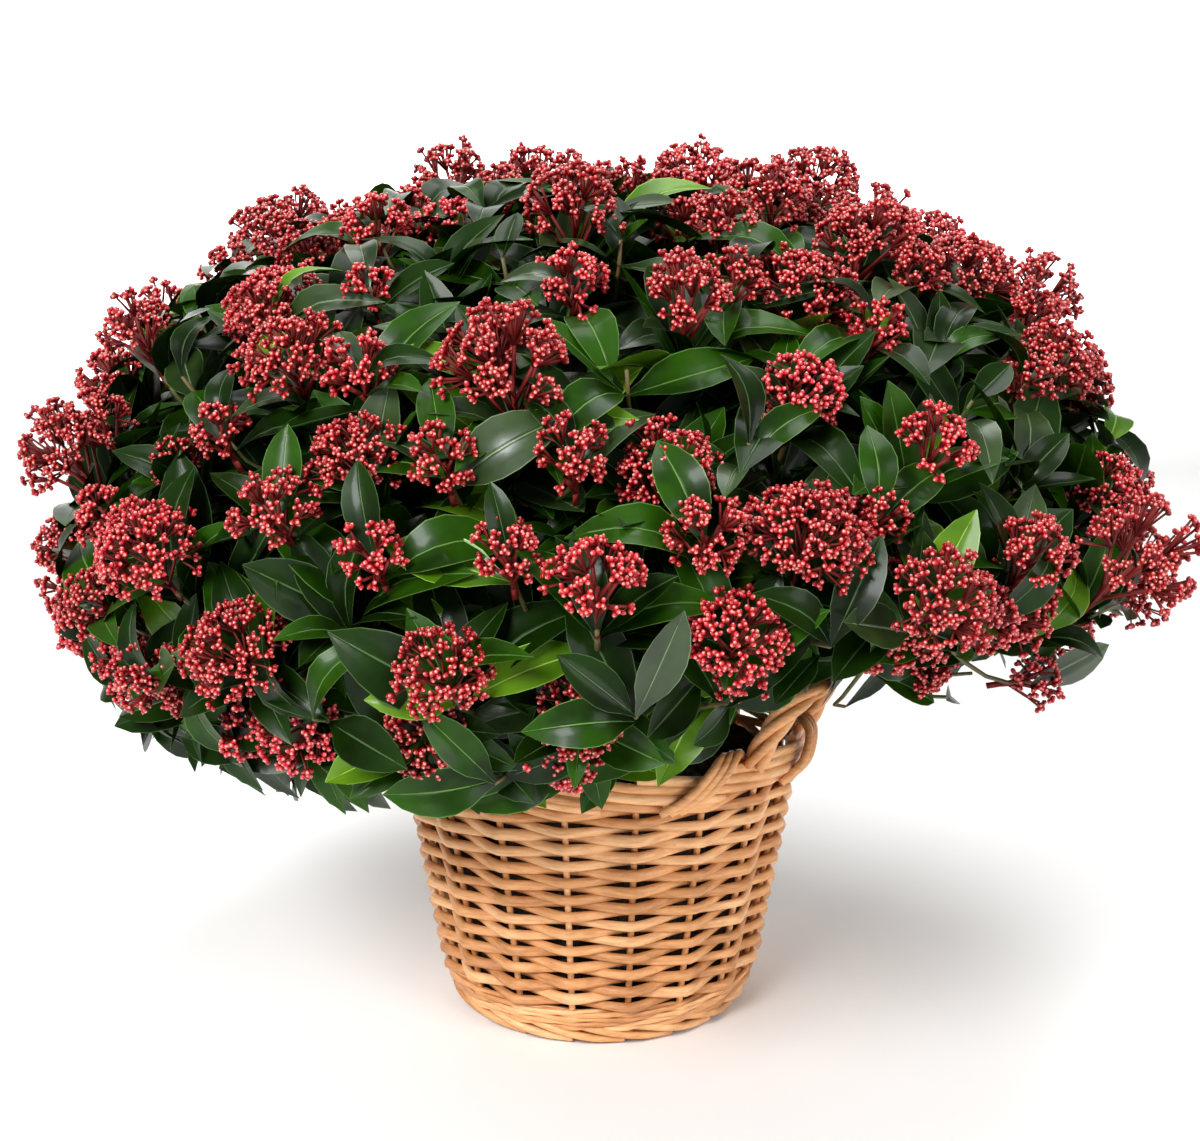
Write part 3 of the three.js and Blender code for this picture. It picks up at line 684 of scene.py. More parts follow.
def crown_reach(ways):
    """How far the outline is from the apex along each way."""
    near = np.zeros(ways.shape[:-1])
    far = near + 2 * CROWN_RADIUS
    for _ in range(40):
        middle = (near + far) / 2
        inside = crown_level(APEX + ways * middle[..., None]) < 1
        near = np.where(inside, middle, near)
        far = np.where(inside, far, middle)
    return near


print("the crown's top, mm:", round(float(APEX[2] + crown_reach(UP[None])[0])))

# %% Room beside the handles
NOTCH_TURN, NOTCH_WIDTH, NOTCH_SHARE = -35, 22, 0.8
NOTCH_LIFT, LIFT_LEVELS, LIFT_REACH = 56, (350, 260), (130, 205)


def notch(points):
    """1 where hands reach in beside a handle and leaves keep higher, and 0 away from there."""
    azimuth = np.degrees(np.arctan2(points[..., 1], points[..., 0])) - HANDLE_AZIMUTH - NOTCH_TURN
    off = np.abs(np.mod(azimuth + 90, 180) - 90)
    return np.exp(-((off / NOTCH_WIDTH) ** 4))


def lifted(points):
    """The points, raised beside the handles where they are low and stand out over the rim."""
    out = np.hypot(points[..., 0], points[..., 1])
    share = notch(points) * smoothstep(points[..., 2], LIFT_LEVELS) * smoothstep(out, LIFT_REACH)
    return points + UP * NOTCH_LIFT * share[..., None]


def leaf_level(points):
    """As crown_level, with the bowl under the crown raised at the notches."""
    raised = CROWN_LEVEL - (CROWN_LEVEL - points[..., 2]) / (1 - NOTCH_SHARE * notch(points))
    height = np.where(points[..., 2] < CROWN_LEVEL, raised, points[..., 2])
    return crown_level(np.concatenate([points[..., :2], height[..., None]], -1))


print("leaves beside a handle are lifted by up to", NOTCH_LIFT, "mm")

# %% Masses and their boughs
RINGS = (
    {"name": "low", "count": 8, "elevation": 12, "azimuth": HANDLE_AZIMUTH - 22.5, "roots": (213, 224)},
    {"name": "mid", "count": 8, "elevation": 41, "azimuth": HANDLE_AZIMUTH - 45, "roots": (235, 245)},
    {"name": "top", "count": 3, "elevation": 71, "azimuth": 20, "roots": (256, 256)},
)
BOUGH_SHARE, STEMLET_SHARE, BOUGH_BULGE = 0.5, 0.7, 0.36
BOUGH_RADII = (4.6, 3.6)
STEM_RADII = (25, 19.5, 17, 16, 15.5)
STEM_FOOT, STEM_TOP = COMPOST_TOP + GAP, 264


def bezier(start, start_way, end, end_way, bulge, steps):
    reach = np.linalg.norm(end - start) * bulge
    a, b, c, d = start, start + start_way * reach, end - end_way * reach, end
    t = np.linspace(0, 1, steps + 1)[:, None]
    return a * (1 - t) ** 3 + 3 * b * t * (1 - t) ** 2 + 3 * c * t**2 * (1 - t) + d * t**3


def stem_radius(height):
    shares = np.linspace(STEM_FOOT, STEM_TOP, len(STEM_RADII))
    return np.interp(height, shares, STEM_RADII)


masses = []
for ring in RINGS:
    for index in range(ring["count"]):
        azimuth = ring["azimuth"] + 360 * index / ring["count"]
        way = polar(azimuth, ring["elevation"])
        reach = crown_reach(way)
        root = ring["roots"][index % 2]
        out = polar(azimuth, 0)
        start = out * (stem_radius(root - BOUGH_RADII[0]) + GAP) + UP * root
        tip = APEX + way * reach * BOUGH_SHARE
        mass = {"name": f"{ring['name']}_{{}}_{index + 1}", "way": way, "reach": reach, "tip": tip}
        masses.append({**mass, "bough": (start, out, tip, way), "shoots": []})
mass_ways = np.array([mass["way"] for mass in masses])
for index, mass in enumerate(masses):
    mass["walls"] = units(np.delete(mass_ways, index, 0) - mass["way"])

limbs = [(bezier(*mass["bough"], BOUGH_BULGE, 3), BOUGH_RADII[0]) for mass in masses]
limbs.append((np.array((UP * STEM_FOOT, UP * STEM_TOP)), STEM_RADII[0]))
foliage_nodes = [mass["name"].format("foliage") for mass in masses]
bough_nodes = [mass["name"].format("bough") for mass in masses]
print("masses:", len(masses))

# %% What the source's twigs and heads keep clear of
LIMB_CLEARANCE, CELL_CLEARANCE = 0.8, 0.7
HANDLE_SPACE = {"inner": 98, "outer": 172, "half": 66, "top": 263}
GRIP_SPACE = {"inner": 98, "outer": 420, "half": 34, "top": 234}
BASKET_SPACE = {"outer": 149, "top": 199}


def beyond(points, way, level):
    return bool((points @ way > level).all())


def clear_of_limb(points, path, radius):
    centre = points.mean(0)
    for start, end in zip(path[:-1], path[1:]):
        run = end - start
        share = np.clip((centre - start) @ run / (run @ run), 0, 1)
        nearest = start + run * share
        way = units(centre - nearest)
        if not beyond(points, way, nearest @ way + radius + LIMB_CLEARANCE):
            return False
    return True


def clear_of_handles(points, spaces=(HANDLE_SPACE, GRIP_SPACE)):
    for azimuth in (HANDLE_AZIMUTH, HANDLE_AZIMUTH + 180):
        out, aside = polar(azimuth, 0), polar(azimuth + 90, 0)
        for space in spaces:
            half = space["half"]
            sides = ((UP, space["top"]), (out, space["outer"]), (-out, -space["inner"]))
            if not any(beyond(points, *side) for side in (*sides, (aside, half), (-aside, half))):
                return False
    return True


def clear_of_basket(points):
    out = units(points.mean(0) * (1, 1, 0))
    return beyond(points, UP, BASKET_SPACE["top"]) or beyond(points, out, BASKET_SPACE["outer"])


def depth_in(mass, points):
    """How far inside a mass's own space some points lie."""
    return (-(points - APEX) @ mass["walls"].T).min()


def nearest(points, place):
    return np.linalg.norm(points - place, axis=1).min(initial=math.inf)


def fits(mass, points, limit):
    return (
        depth_in(mass, points) > CELL_CLEARANCE
        and (crown_level(points) < limit).all()
        and clear_of_basket(points)
        and clear_of_handles(points)
        and all(clear_of_limb(points, path, radius) for path, radius in limbs)
    )


# %% Shoots spread over the crown
SHOOT_TRIALS, SHOOT_SPACING, SHOOT_BORDER = 2400, 80, 26
SHOOT_LOWEST, FLOWER_LOWEST = math.sin(math.radians(-5)), math.sin(math.radians(3))
SHOOT_NEAREST = 255  # to the stem, for shoots under the crown's widest level

trial = np.arange(SHOOT_TRIALS)
rises = 1 - trial * (1 - SHOOT_LOWEST) / SHOOT_TRIALS
flats, turns = np.sqrt(1 - rises**2), trial * GOLDEN_ANGLE
trial_ways = np.stack([flats * np.cos(turns), flats * np.sin(turns), rises], -1)
trial_reaches = crown_reach(trial_ways)
trial_owners = (trial_ways @ mass_ways.T).argmax(1)
placed = np.zeros((0, 3))
for way, reach, owner, rise in zip(trial_ways, trial_reaches, trial_owners, rises):
    top = APEX + way * reach
    mass = masses[owner]
    if depth_in(mass, top) < SHOOT_BORDER or nearest(placed, top) < SHOOT_SPACING:
        continue
    if top[2] < CROWN_LEVEL and math.hypot(top[0], top[1]) < SHOOT_NEAREST:
        continue
    placed = np.vstack([placed, top])
    mass["shoots"].append({"way": way, "top": top, "flowers": rise > FLOWER_LOWEST})
print("shoots:", len(placed))

# %% [markdown]
# ## One leaf and one bud, modelled one by one
# A skimmia leaf is leathery and oblong with a short point, folded a little along its rib. It starts as a
# flat grid, whose rows are then narrowed and lifted one by one. A bud is an egg no bigger than a match
# head, so twenty faces are enough. Both are drawn one unit long and sized when they are dealt out.

# %% The leaf
LEAF_ROWS, LEAF_COLUMNS = 7, 4
LEAF_STALK = 0.09  # share of its length that is stalk
LEAF_FOLD = 0.13  # rise of the edges above the rib, for each unit of half width
LEAF_BENDS = ((0.10, 0.10), (0.16, -0.04), (0.02, 0.05), (0.22, -0.16))  # arch, droop of the tip
LEAF_POINT, LEAF_NARROWEST = 0.015, 0.07  # half widths, as shares of the widest


def leaf_width(along):
    """Half width, as a share of the widest, from stalk to point."""
    blade = max(0.0, (along - LEAF_STALK) / (1 - LEAF_STALK))
    if blade >= 1:
        return LEAF_POINT
    return max(LEAF_NARROWEST, math.sin(math.pi * blade**0.85) ** 0.72 * (1 - 0.18 * (1 - blade)))


def select_row(mesh, row):
    """Selects the points of a mesh in edit mode that lie in one row across the leaf."""
    bpy.ops.mesh.select_all(action="DESELECT")
    edited = bmesh.from_edit_mesh(mesh)
    for vertex in edited.verts:
        vertex.select_set(abs(vertex.co.y - row) < 1e-3)
    bmesh.update_edit_mesh(mesh)


def model_leaf(arch, droop):
    bpy.ops.mesh.primitive_grid_add(x_subdivisions=LEAF_COLUMNS, y_subdivisions=LEAF_ROWS, size=1)
    leaf = bpy.context.object
    marks = np.array([(vertex.co.x + 0.5, vertex.co.y + 0.5) for vertex in leaf.data.vertices])
    rows = sorted({round(vertex.co.y, 4) for vertex in leaf.data.vertices})
    bpy.ops.object.mode_set(mode="EDIT")
    bpy.context.tool_settings.mesh_select_mode = (True, False, False)
    for row in rows:
        along = row + 0.5
        select_row(leaf.data, row)
        bpy.ops.transform.resize(value=(leaf_width(along), 1, 1), center_override=(0, row, 0))
        lift = arch * math.sin(math.pi * along) + droop * along**2
        bpy.ops.transform.translate(value=(0, 0, lift))
    bpy.ops.object.mode_set(mode="OBJECT")
    for vertex, mark in zip(leaf.data.vertices, marks):
        vertex.co.z += LEAF_FOLD * abs(vertex.co.x)
        vertex.co.y += 0.5
    points = np.array([vertex.co[:] for vertex in leaf.data.vertices])
    faces = np.array([face.vertices[:] for face in leaf.data.polygons])
    print("leaf:", len(rows), "rows,", len(faces), "faces, width", round(np.ptp(points[:, 0]), 3))
    bpy.data.objects.remove(leaf)
    return points, faces, marks


leaf_models = [model_leaf(*bend) for bend in LEAF_BENDS]

# %% The bud
bpy.ops.mesh.primitive_ico_sphere_add(subdivisions=1, radius=0.5)
bud = bpy.context.object
bpy.ops.object.mode_set(mode="EDIT")
bpy.ops.mesh.select_all(action="SELECT")
bpy.ops.transform.translate(value=(0, 0, 0.5))
bpy.ops.object.mode_set(mode="OBJECT")
points = np.array([vertex.co[:] for vertex in bud.data.vertices])
faces = np.array([face.vertices[:] for face in bud.data.polygons])
bud_model = (points, faces, np.stack([0 * points[:, 2], points[:, 2]], 1))
bpy.data.objects.remove(bud)
print("bud faces:", len(faces))

# %% Dealing out copies
def scatter(heap, model, places, acrosses, alongs, ups, sizes):
    """Adds a copy of a model at each place, turned to three directions and sized along each."""
    points, faces, marks = model
    turned = (
        acrosses[:, None] * (points[None, :, 0:1] * sizes[:, None, 0:1])
        + alongs[:, None] * (points[None, :, 1:2] * sizes[:, None, 1:2])
        + ups[:, None] * (points[None, :, 2:3] * sizes[:, None, 2:3])
        + places[:, None]
    )
    step = np.arange(len(places))[:, None, None] * len(points)
    rows = (faces[None] + step).reshape(-1, faces.shape[1])
    heap.add(turned.reshape(-1, 3), [rows], np.tile(marks, (len(places), 1)))


def thin_rods(heap, starts, ends, thick, thin, sides=3):
    """Adds a tapering rod with flat ends between each start and its end."""
    across, over = crossings(units(ends - starts))
    turn = 2 * math.pi * np.arange(sides) / sides
    circle = across[:, None] * np.cos(turn)[:, None] + over[:, None] * np.sin(turn)[:, None]
    low = starts[:, None] + circle * np.reshape(thick, (-1, 1, 1))
    high = ends[:, None] + circle * np.reshape(thin, (-1, 1, 1))
    points = np.concatenate([low, high], 1).reshape(-1, 3)
    side = np.arange(sides)
    following = (side + 1) % sides
    quads = np.stack([side, following, following + sides, side + sides], 1)
    caps = np.stack([side[::-1], side + sides])
    step = np.arange(len(starts))[:, None, None] * 2 * sides
    heap.add(points, [(quads[None] + step).reshape(-1, 4), (caps[None] + step).reshape(-1, sides)])


print("ready to deal out leaves and buds")

# %% [markdown]
# ## A head of buds
# The head is a panicle: a stalk with side branches, each of which fans out to some eight tips, and every
# tip carries a tight knot of buds. Loose dots on a ball would show no branches, and branches grown blindly
# would leave bald patches. So the tips are spread evenly over a dome first, by the golden angle, and each
# is then joined to the nearest branch. Lower tips hang loose, and an open head has fewer of them.

# %% How a head is made up
FORK_SHARE = 0.55  # of the way out, where a branch fans out to its tips
TIP_SPACING = 7.4  # between the knots of buds on a dense dome
LOOSE_RISE, LOOSE_SHARE = 0.1, 0.55  # tips below this hang loose, and so many of them are kept
TIP_SCATTER, TIP_SHARE, LOOSE_SCATTER = 0.05, 0.97, 0.12  # how far out tips end, and how unevenly
TIP_LIMITS, LONGEST = (0.6, 1.06), 1.06
BUDS, BUD_TILT = 4, math.radians(54)  # in a knot, and how far its outer buds lean
BUD_TURN, BUD_LEAN, BUD_SPREAD = 0.2, (0.55, 1.25), (-0.6, 1.3)  # how uneven the knots are
BUD_LENGTH, BUD_WIDTH = (3.6, 4.4), (2.9, 3.5)
BUD_REACH = 4.3  # from a tip to the far end of its buds
STALK_RADII = (1.7, 1.2, 0.95, 0.8, 0.65)  # from the foot to the tips
# Branches, how far tips lean to their branch, the shortest branch, and how bold the stalks are
DENSE = {"branches": 12, "clumping": 0.16, "shortest": 0.82, "bold": 1.0}
OPEN = {"branches": 8, "clumping": 0.36, "shortest": 0.76, "bold": 1.3}
OPEN_FULLNESS = 0.8  # a head less full than this is an open one
NOTCH_HEAD_LIFT = 26  # heads keep so much higher beside a handle
HEAD_BOX = np.array((364, 380, 581))  # no head reaches further from the middle of the underside
HEAD_LOWEST = 240  # heads with a lower middle are left out, and others keep all their buds above it
print("tips on a dome of 30 mm, about:", round(3 * math.pi * (30 / TIP_SPACING) ** 2))


# %% Ways that fan out
def fan_out(ways, count, tilt, random):
    """One way straight on and the others round it at a tilt, for each of many ways."""
    across, along = crossings(ways)
    order = np.arange(count)
    turn = 2 * math.pi * order / (count - 1) + random.uniform(*ANY_TURN, ways.shape[:-1])[..., None]
    turn = turn + random.normal(0, BUD_TURN, turn.shape)
    lean = np.where(order == 0, 0.15, math.tan(tilt)) * random.uniform(*BUD_LEAN, turn.shape)
    return units(
        ways[..., None, :]
        + across[..., None, :] * (lean * np.cos(turn))[..., None]
        + along[..., None, :] * (lean * np.sin(turn))[..., None]
    )


def dome(axis, count, lowest, turn):
    """How high and which way out each of many ways points, spread evenly from the top of a dome down."""
    across, along = square_to(axis)
    order = np.arange(count)
    rise = 1 - (order + 0.5) / count * (1 - lowest)
    flat = np.sqrt(1 - rise**2)
    angle = order * GOLDEN_ANGLE + turn
    fan = across * (flat * np.cos(angle))[:, None] + along * (flat * np.sin(angle))[:, None]
    return rise[:, None], fan


print("ways in a knot of buds:", BUDS)

# %% A head on a twig
all_buds, all_stalks = [], []


def add_stalks(starts, ends, thick, thin):
    all_stalks.append((starts, ends, np.full(len(starts), thick), np.full(len(starts), thin)))


def grow_head(base, axis, height, radius, random, shade, fullness=1.0, lowest=-0.5):
    """Adds the stalks and buds of a head on a twig that ends at base."""
    foot, centre = base, base + axis * height / 2
    if centre[2] < HEAD_LOWEST:
        return
    room = HEAD_BOX - (radius, radius, height / 2)
    lowest_middle = HEAD_LOWEST + radius + NOTCH_HEAD_LIFT * notch(centre)
    base = base + np.clip(centre, (-room[0], -room[1], lowest_middle), room) - centre
    centre = base + axis * height / 2
    reach, lift = radius - BUD_REACH, height / 2 - BUD_REACH
    kind = OPEN if fullness < OPEN_FULLNESS else DENSE

    def placed_at(rise, fan, share):
        return centre + (fan * reach + axis * rise * lift) * share

    fork_rise, fork_fan = dome(axis, kind["branches"], lowest + 0.1, random.uniform(*ANY_TURN))
    lengths = random.uniform(kind["shortest"], LONGEST, (kind["branches"], 1))
    roots = base + axis * height * (0.04 + 0.36 * (fork_rise - lowest) / (1 - lowest))
    forks = placed_at(fork_rise, fork_fan, FORK_SHARE * lengths) - axis * height * 0.06

    area = math.pi * reach * (reach + lift) * (1 - lowest)
    rise, fan = dome(axis, int(area * fullness / TIP_SPACING**2), lowest, random.uniform(*ANY_TURN))
    loose = rise < LOOSE_RISE
    kept = random.random(len(rise)) < np.where(loose[:, 0], LOOSE_SHARE, 1)
    rise, fan, loose = rise[kept], fan[kept], loose[kept]
    owner = (fan @ fork_fan.T + rise @ fork_rise.T).argmax(1)
    fan = fan + (fork_fan[owner] - fan) * kind["clumping"] + random.normal(0, TIP_SCATTER, fan.shape)
    rise = rise + (fork_rise[owner] - rise) * kind["clumping"]
    uneven = random.normal(TIP_SHARE, TIP_SCATTER, rise.shape)
    uneven = uneven + loose * random.normal(0, LOOSE_SCATTER, rise.shape)
    tips = placed_at(rise, fan, np.clip(uneven, *TIP_LIMITS) * lengths[owner])

    radii = [thickness * kind["bold"] for thickness in STALK_RADII]
    add_stalks(foot[None] - axis * 6, base[None] + axis * 2, radii[0], radii[0])
    add_stalks(base[None], base[None] + axis * height * 0.5, radii[0], radii[1])
    add_stalks(roots, forks, radii[1], radii[2])
    add_stalks(forks[owner], tips, radii[3], radii[4])
    ways = units(units(tips - forks[owner]) + fan + axis * rise)
    bud_ways = fan_out(ways, BUDS, BUD_TILT, random)
    places = tips[:, None] + bud_ways * random.uniform(*BUD_SPREAD, bud_ways.shape[:-1])[..., None]
    count = len(tips) * BUDS
    all_buds.append((places.reshape(-1, 3), bud_ways.reshape(-1, 3), np.full(count, shade)))


print("kinds of head:", DENSE, OPEN)

# %% [markdown]
# ## Leaves round a shoot
# Leaves sit in false whorls: a ring of them right under the head and more further down the twig. Each
# leaf turns on by the golden angle, so that none lies straight over another. A leaf that would leave the
# crown's outline or run into the basket or a handle is tried shorter and then left out.

# %% Leaf whorls
LEAF_LENGTH, LEAF_SLENDERNESS, LEAF_TRIALS = (62, 90), (0.38, 0.5), (1, 0.86, 0.72)
ROPE_SPACE = {"inner": 118, "outer": 166, "half": 58, "top": 259}
WALL_SPACE = {"inner": 112, "outer": 153, "top": BASKET_SPACE["top"] + 2, "compost": COMPOST_TOP + 4}
# A share of the leaves, more of them high up, gets the grey-green shade, which is a painted sheen
DEEP_SHARE, GREEN_SHARE = 0.58, 0.42  # of the leaves that are neither grey nor bright
PAINTED_SHEEN_LEVELS, PAINTED_SHEEN_SHARES = (280, 500), (0.08, 0.26)
all_leaves = []


def leaf_fits(root, way, normal, length, bend, limit):
    share = np.array([[0.35], [0.7], [1.0]])
    lift = bend[0] * np.sin(math.pi * share) + bend[1] * share**2
    points = root + (way * share + normal * lift) * length
    out, height = np.hypot(points[:, 0], points[:, 1]), points[:, 2]
    on_wall = (height < WALL_SPACE["top"]) & (out > WALL_SPACE["inner"])
    blocked = (out < WALL_SPACE["outer"]) & (on_wall | (height < WALL_SPACE["compost"]))
    inside = (leaf_level(points) < limit).all()
    return inside and not blocked.any() and clear_of_handles(points, (ROPE_SPACE,))


def grow_leaves(point, axis, count, spread, turn, random, limit, scale=1.0, sag=0.0, bright=0.04):
    across, along = square_to(axis)
    # Leaves high up more often get the grey-green painted sheen
    painted_sheen = between(PAINTED_SHEEN_SHARES, smoothstep(point[2], PAINTED_SHEEN_LEVELS))
    plain = 1 - painted_sheen - bright
    for index in range(count):
        angle = turn + index * GOLDEN_ANGLE + random.normal(0, 0.15)
        tilt = math.radians(random.uniform(*spread))
        fan = across * math.cos(angle) + along * math.sin(angle)
        way = units(axis * math.cos(tilt) + fan * math.sin(tilt) - UP * sag)
        length = random.uniform(*LEAF_LENGTH) * scale
        slenderness = random.uniform(*LEAF_SLENDERNESS)
        shade = random.choice(4, p=[DEEP_SHARE * plain, GREEN_SHARE * plain, painted_sheen, bright])
        bend = random.integers(0, len(LEAF_BENDS))
        normal = units(axis - way * (axis @ way))
        normal = units(normal + np.cross(way, normal) * random.normal(0, 0.28))
        for shorten in LEAF_TRIALS:
            if leaf_fits(point, way, normal, length * shorten, LEAF_BENDS[bend], limit):
                size = (length * shorten * slenderness, length * shorten, length * shorten)
                all_leaves.append((point, way, normal, size, shade, bend))
                break


print("leaf lengths:", LEAF_LENGTH, "mm")

# %% [markdown]
# ## Growing every shoot
# The source's random numbers are drawn in the source's order, so that each twig and head falls close to
# its place there. Everything finer has a stream of its own and can change without moving the rest.

# %% Numbers of the rule
SEED, SEED_STEP = 20261, 7919
TWIG_ROOTS, TWIG_FORWARD, TWIG_BULGE = (0.3, 0.95), 0.45, 0.3
TWIG_RADIUS, STEMLET_RADII = 1.9, (4.2, 3.4)  # of the source
SHOOT_RADII, FINE_RADII = (2.1, 1.5), (1.8, 1.2)  # of the twigs that show
SHOOT_LEVELS, SHOOT_RISE, SHOOT_OUT, SHOOT_LIFT = (250, 385), (0.02, 0.52), 0.62, 22
HEAD_HEIGHT, HEAD_RADIUS, HEAD_INSET, HEAD_ROOT = (50, 64), (26, 33), (0, 14), 8
HEAD_TRIES, HEAD_LIMIT, LEAF_TRIES = (1, 0.9, 0.8), 1.06, 26
LEAF_LIMITS, FILLER_LIMIT = (1.0, 0.87), 0.64
HEAD_SHIFT = (-20, 16)  # inwards and outwards, so that the crown's outline is uneven
HEAD_GROWTH, HEAD_SCALE = 1.16, (0.76, 1.12)
SAG, FINE_SAG, BRIGHT_SHARES = 0.28, 0.2, (0.09, 0.04)
FLOWERING_SHARE = 0.93
OPEN_SHARES = (0.1, 0.5)  # of the heads, low down and high up
OPEN_FULL, OPEN_TALL, OPEN_LOWEST = 0.62, 1.16, -0.2
DENSE_FULL, DENSE_TALL, DENSE_LOWEST = (0.88, 1.05), 0.92, -0.5
HANG_LEVELS = (320, 250)  # between these heights a head's hanging tips give way to the basket
WHORL_LEAVES = (6, 5, 5)  # from the head down
LEAF_LIFT = 18  # degrees by which leaves stand steeper high up
BUD_SHARES = ((0.2, 0.45, 0.35), (0.7, 0.28, 0.02))  # of the shades, low down and high up


def stream(seed):
    """The source's random numbers from 0 to 1."""
    state = seed

    def draw():
        nonlocal state
        state = (state * 1664525 + 1013904223) % 2**32
        return state / 2**32

    return draw


print("the rule's first random number:", round(stream(SEED)(), 3))


# %% Twigs and heads as the source has them
def ring_points(centre, axis, radii, turn):
    across, along = square_to(axis)
    angle = 2 * math.pi * np.arange(len(radii)) / len(radii) + turn
    reach = np.array(radii)
    return centre + across * (reach * np.cos(angle))[:, None] + along * (reach * np.sin(angle))[:, None]


def head_points(base, axis, height, radius, turn):
    return np.vstack(
        [
            ring_points(base, axis, [0.22 * radius] * 3, turn),
            ring_points(base + axis * height * 0.42, axis, [radius, 0.9 * radius] * 3, turn),
            ring_points(base + axis * height, axis, [0.42 * radius] * 3, turn),
        ]
    )


def shoot_axis(way, level):
    return units(way * SHOOT_OUT + UP * between(SHOOT_RISE, level))


def twig_path(mass, ends, share, tip, axis, steps):
    start = ends[0] + (ends[1] - ends[0]) * between(TWIG_ROOTS, share)
    set_off = tip - start
    set_off = units(set_off - mass["way"] * (set_off @ mass["way"]))
    set_off = units(set_off + mass["way"] * TWIG_FORWARD)
    return bezier(start, set_off, tip, axis, TWIG_BULGE, steps)


def twig_points(path):
    """The corners of the source's three-sided twig past its root."""
    ways = units(path[2] - path[:2])
    return np.vstack([ring_points(path[k + 1], ways[k], [TWIG_RADIUS] * 3, 0) for k in (0, 1)])


print("corners of the source's blunt head:", len(head_points(APEX, UP, HEAD_HEIGHT[0], HEAD_RADIUS[0], 0)))

# %% A shoot with its leaves and head
twig_heap = Heap()
fine = np.random.default_rng(SEED)


def add_twig(path, radii, sides):
    twig_heap.add(*sweep(path, np.linspace(*radii, len(path)), sides))


def bud_shade(level):
    return fine.choice(3, p=between(np.array(BUD_SHARES), level))


def grow_shoot(mass, shoot, share, stemlet, draw):
    size = draw()
    height, radius = between(HEAD_HEIGHT, size), between(HEAD_RADIUS, size)
    inset = between(HEAD_INSET, draw())
    level = smoothstep(shoot["top"][2], SHOOT_LEVELS)
    axis = shoot_axis(shoot["way"], level)
    base = shoot["top"] - shoot["way"] * inset - axis * height + UP * SHOOT_LIFT * (1 - level)
    tip = base + axis * HEAD_ROOT
    coarse = twig_path(mass, stemlet, share, tip, axis, 2)
    if not fits(mass, twig_points(coarse), 1):
        return None
    turn = 2 * math.pi * draw()
    for _ in range(LEAF_TRIES):
        draw(), draw()
    head = 0
    if shoot["flowers"]:
        for scale in HEAD_TRIES:
            if fits(mass, head_points(base, axis, height * scale, radius * scale, turn), HEAD_LIMIT):
                head = scale
                break
    base = base + shoot["way"] * fine.uniform(*HEAD_SHIFT)
    sag, bright = SAG * (1 - level), between(BRIGHT_SHARES, level)
    limit, steep = between(LEAF_LIMITS, level), LEAF_LIFT * level
    path = lifted(twig_path(mass, stemlet, share, base, axis, 8))
    base = path[-1]
    back = units(path[-4] - base)
    # Place, tilts in degrees, size and share of bright leaves
    whorls = (
        (base - axis * 5, (50 - steep, 80 - steep), 0.9, bright),
        (base + back * 14, (58 - steep, 88 - steep), 1.0, bright),
        (base + back * 32, (72, 100), 1.05, bright / 2),
    )
    leaves = len(all_leaves)
    for order, (count, (point, tilts, scale, fresh)) in enumerate(zip(WHORL_LEAVES, whorls)):
        grow_leaves(point, axis, count, tilts, turn + order, fine, limit, scale, sag, fresh)
    head *= HEAD_GROWTH * fine.uniform(*HEAD_SCALE) * (fine.random() < FLOWERING_SHARE)
    flowers = head and leaf_level(base + axis * height * 0.3) < 1
    if flowers:
        is_open = fine.random() < between(OPEN_SHARES, level)
        fullness, tall = (OPEN_FULL, OPEN_TALL) if is_open else (fine.uniform(*DENSE_FULL), DENSE_TALL)
        hang = smoothstep(base[2], HANG_LEVELS)
        lowest, shade = between((OPEN_LOWEST if is_open else DENSE_LOWEST, 0.0), hang), bud_shade(level)
        grow_head(base, axis, height * head * tall, radius * head, fine, shade, fullness, lowest)
    leaves = len(all_leaves) - leaves
    if flowers or leaves:
        add_twig(path, SHOOT_RADII, 6)
    return base if flowers or leaves > 3 else None


print("a shoot's leaves, at most:", sum(WHORL_LEAVES))

# %% Every shoot of the source
grown = []
for index, mass in enumerate(masses):
    draw = stream(SEED + SEED_STEP * index)
    foot = mass["tip"] + mass["way"] * GAP
    end = APEX + mass["way"] * mass["reach"] * STEMLET_SHARE
    mass["stemlet"] = (foot, end)
    add_twig(lifted(np.linspace(foot, end, 9)), STEMLET_RADII, 8)
    last = max(len(mass["shoots"]) - 1, 1)
    for order, shoot in enumerate(mass["shoots"]):
        base = grow_shoot(mass, shoot, order / last, (foot, end), draw)
        if base is not None:
            grown.append(base)
print("shoots grown:", len(grown), "leaves:", len(all_leaves))

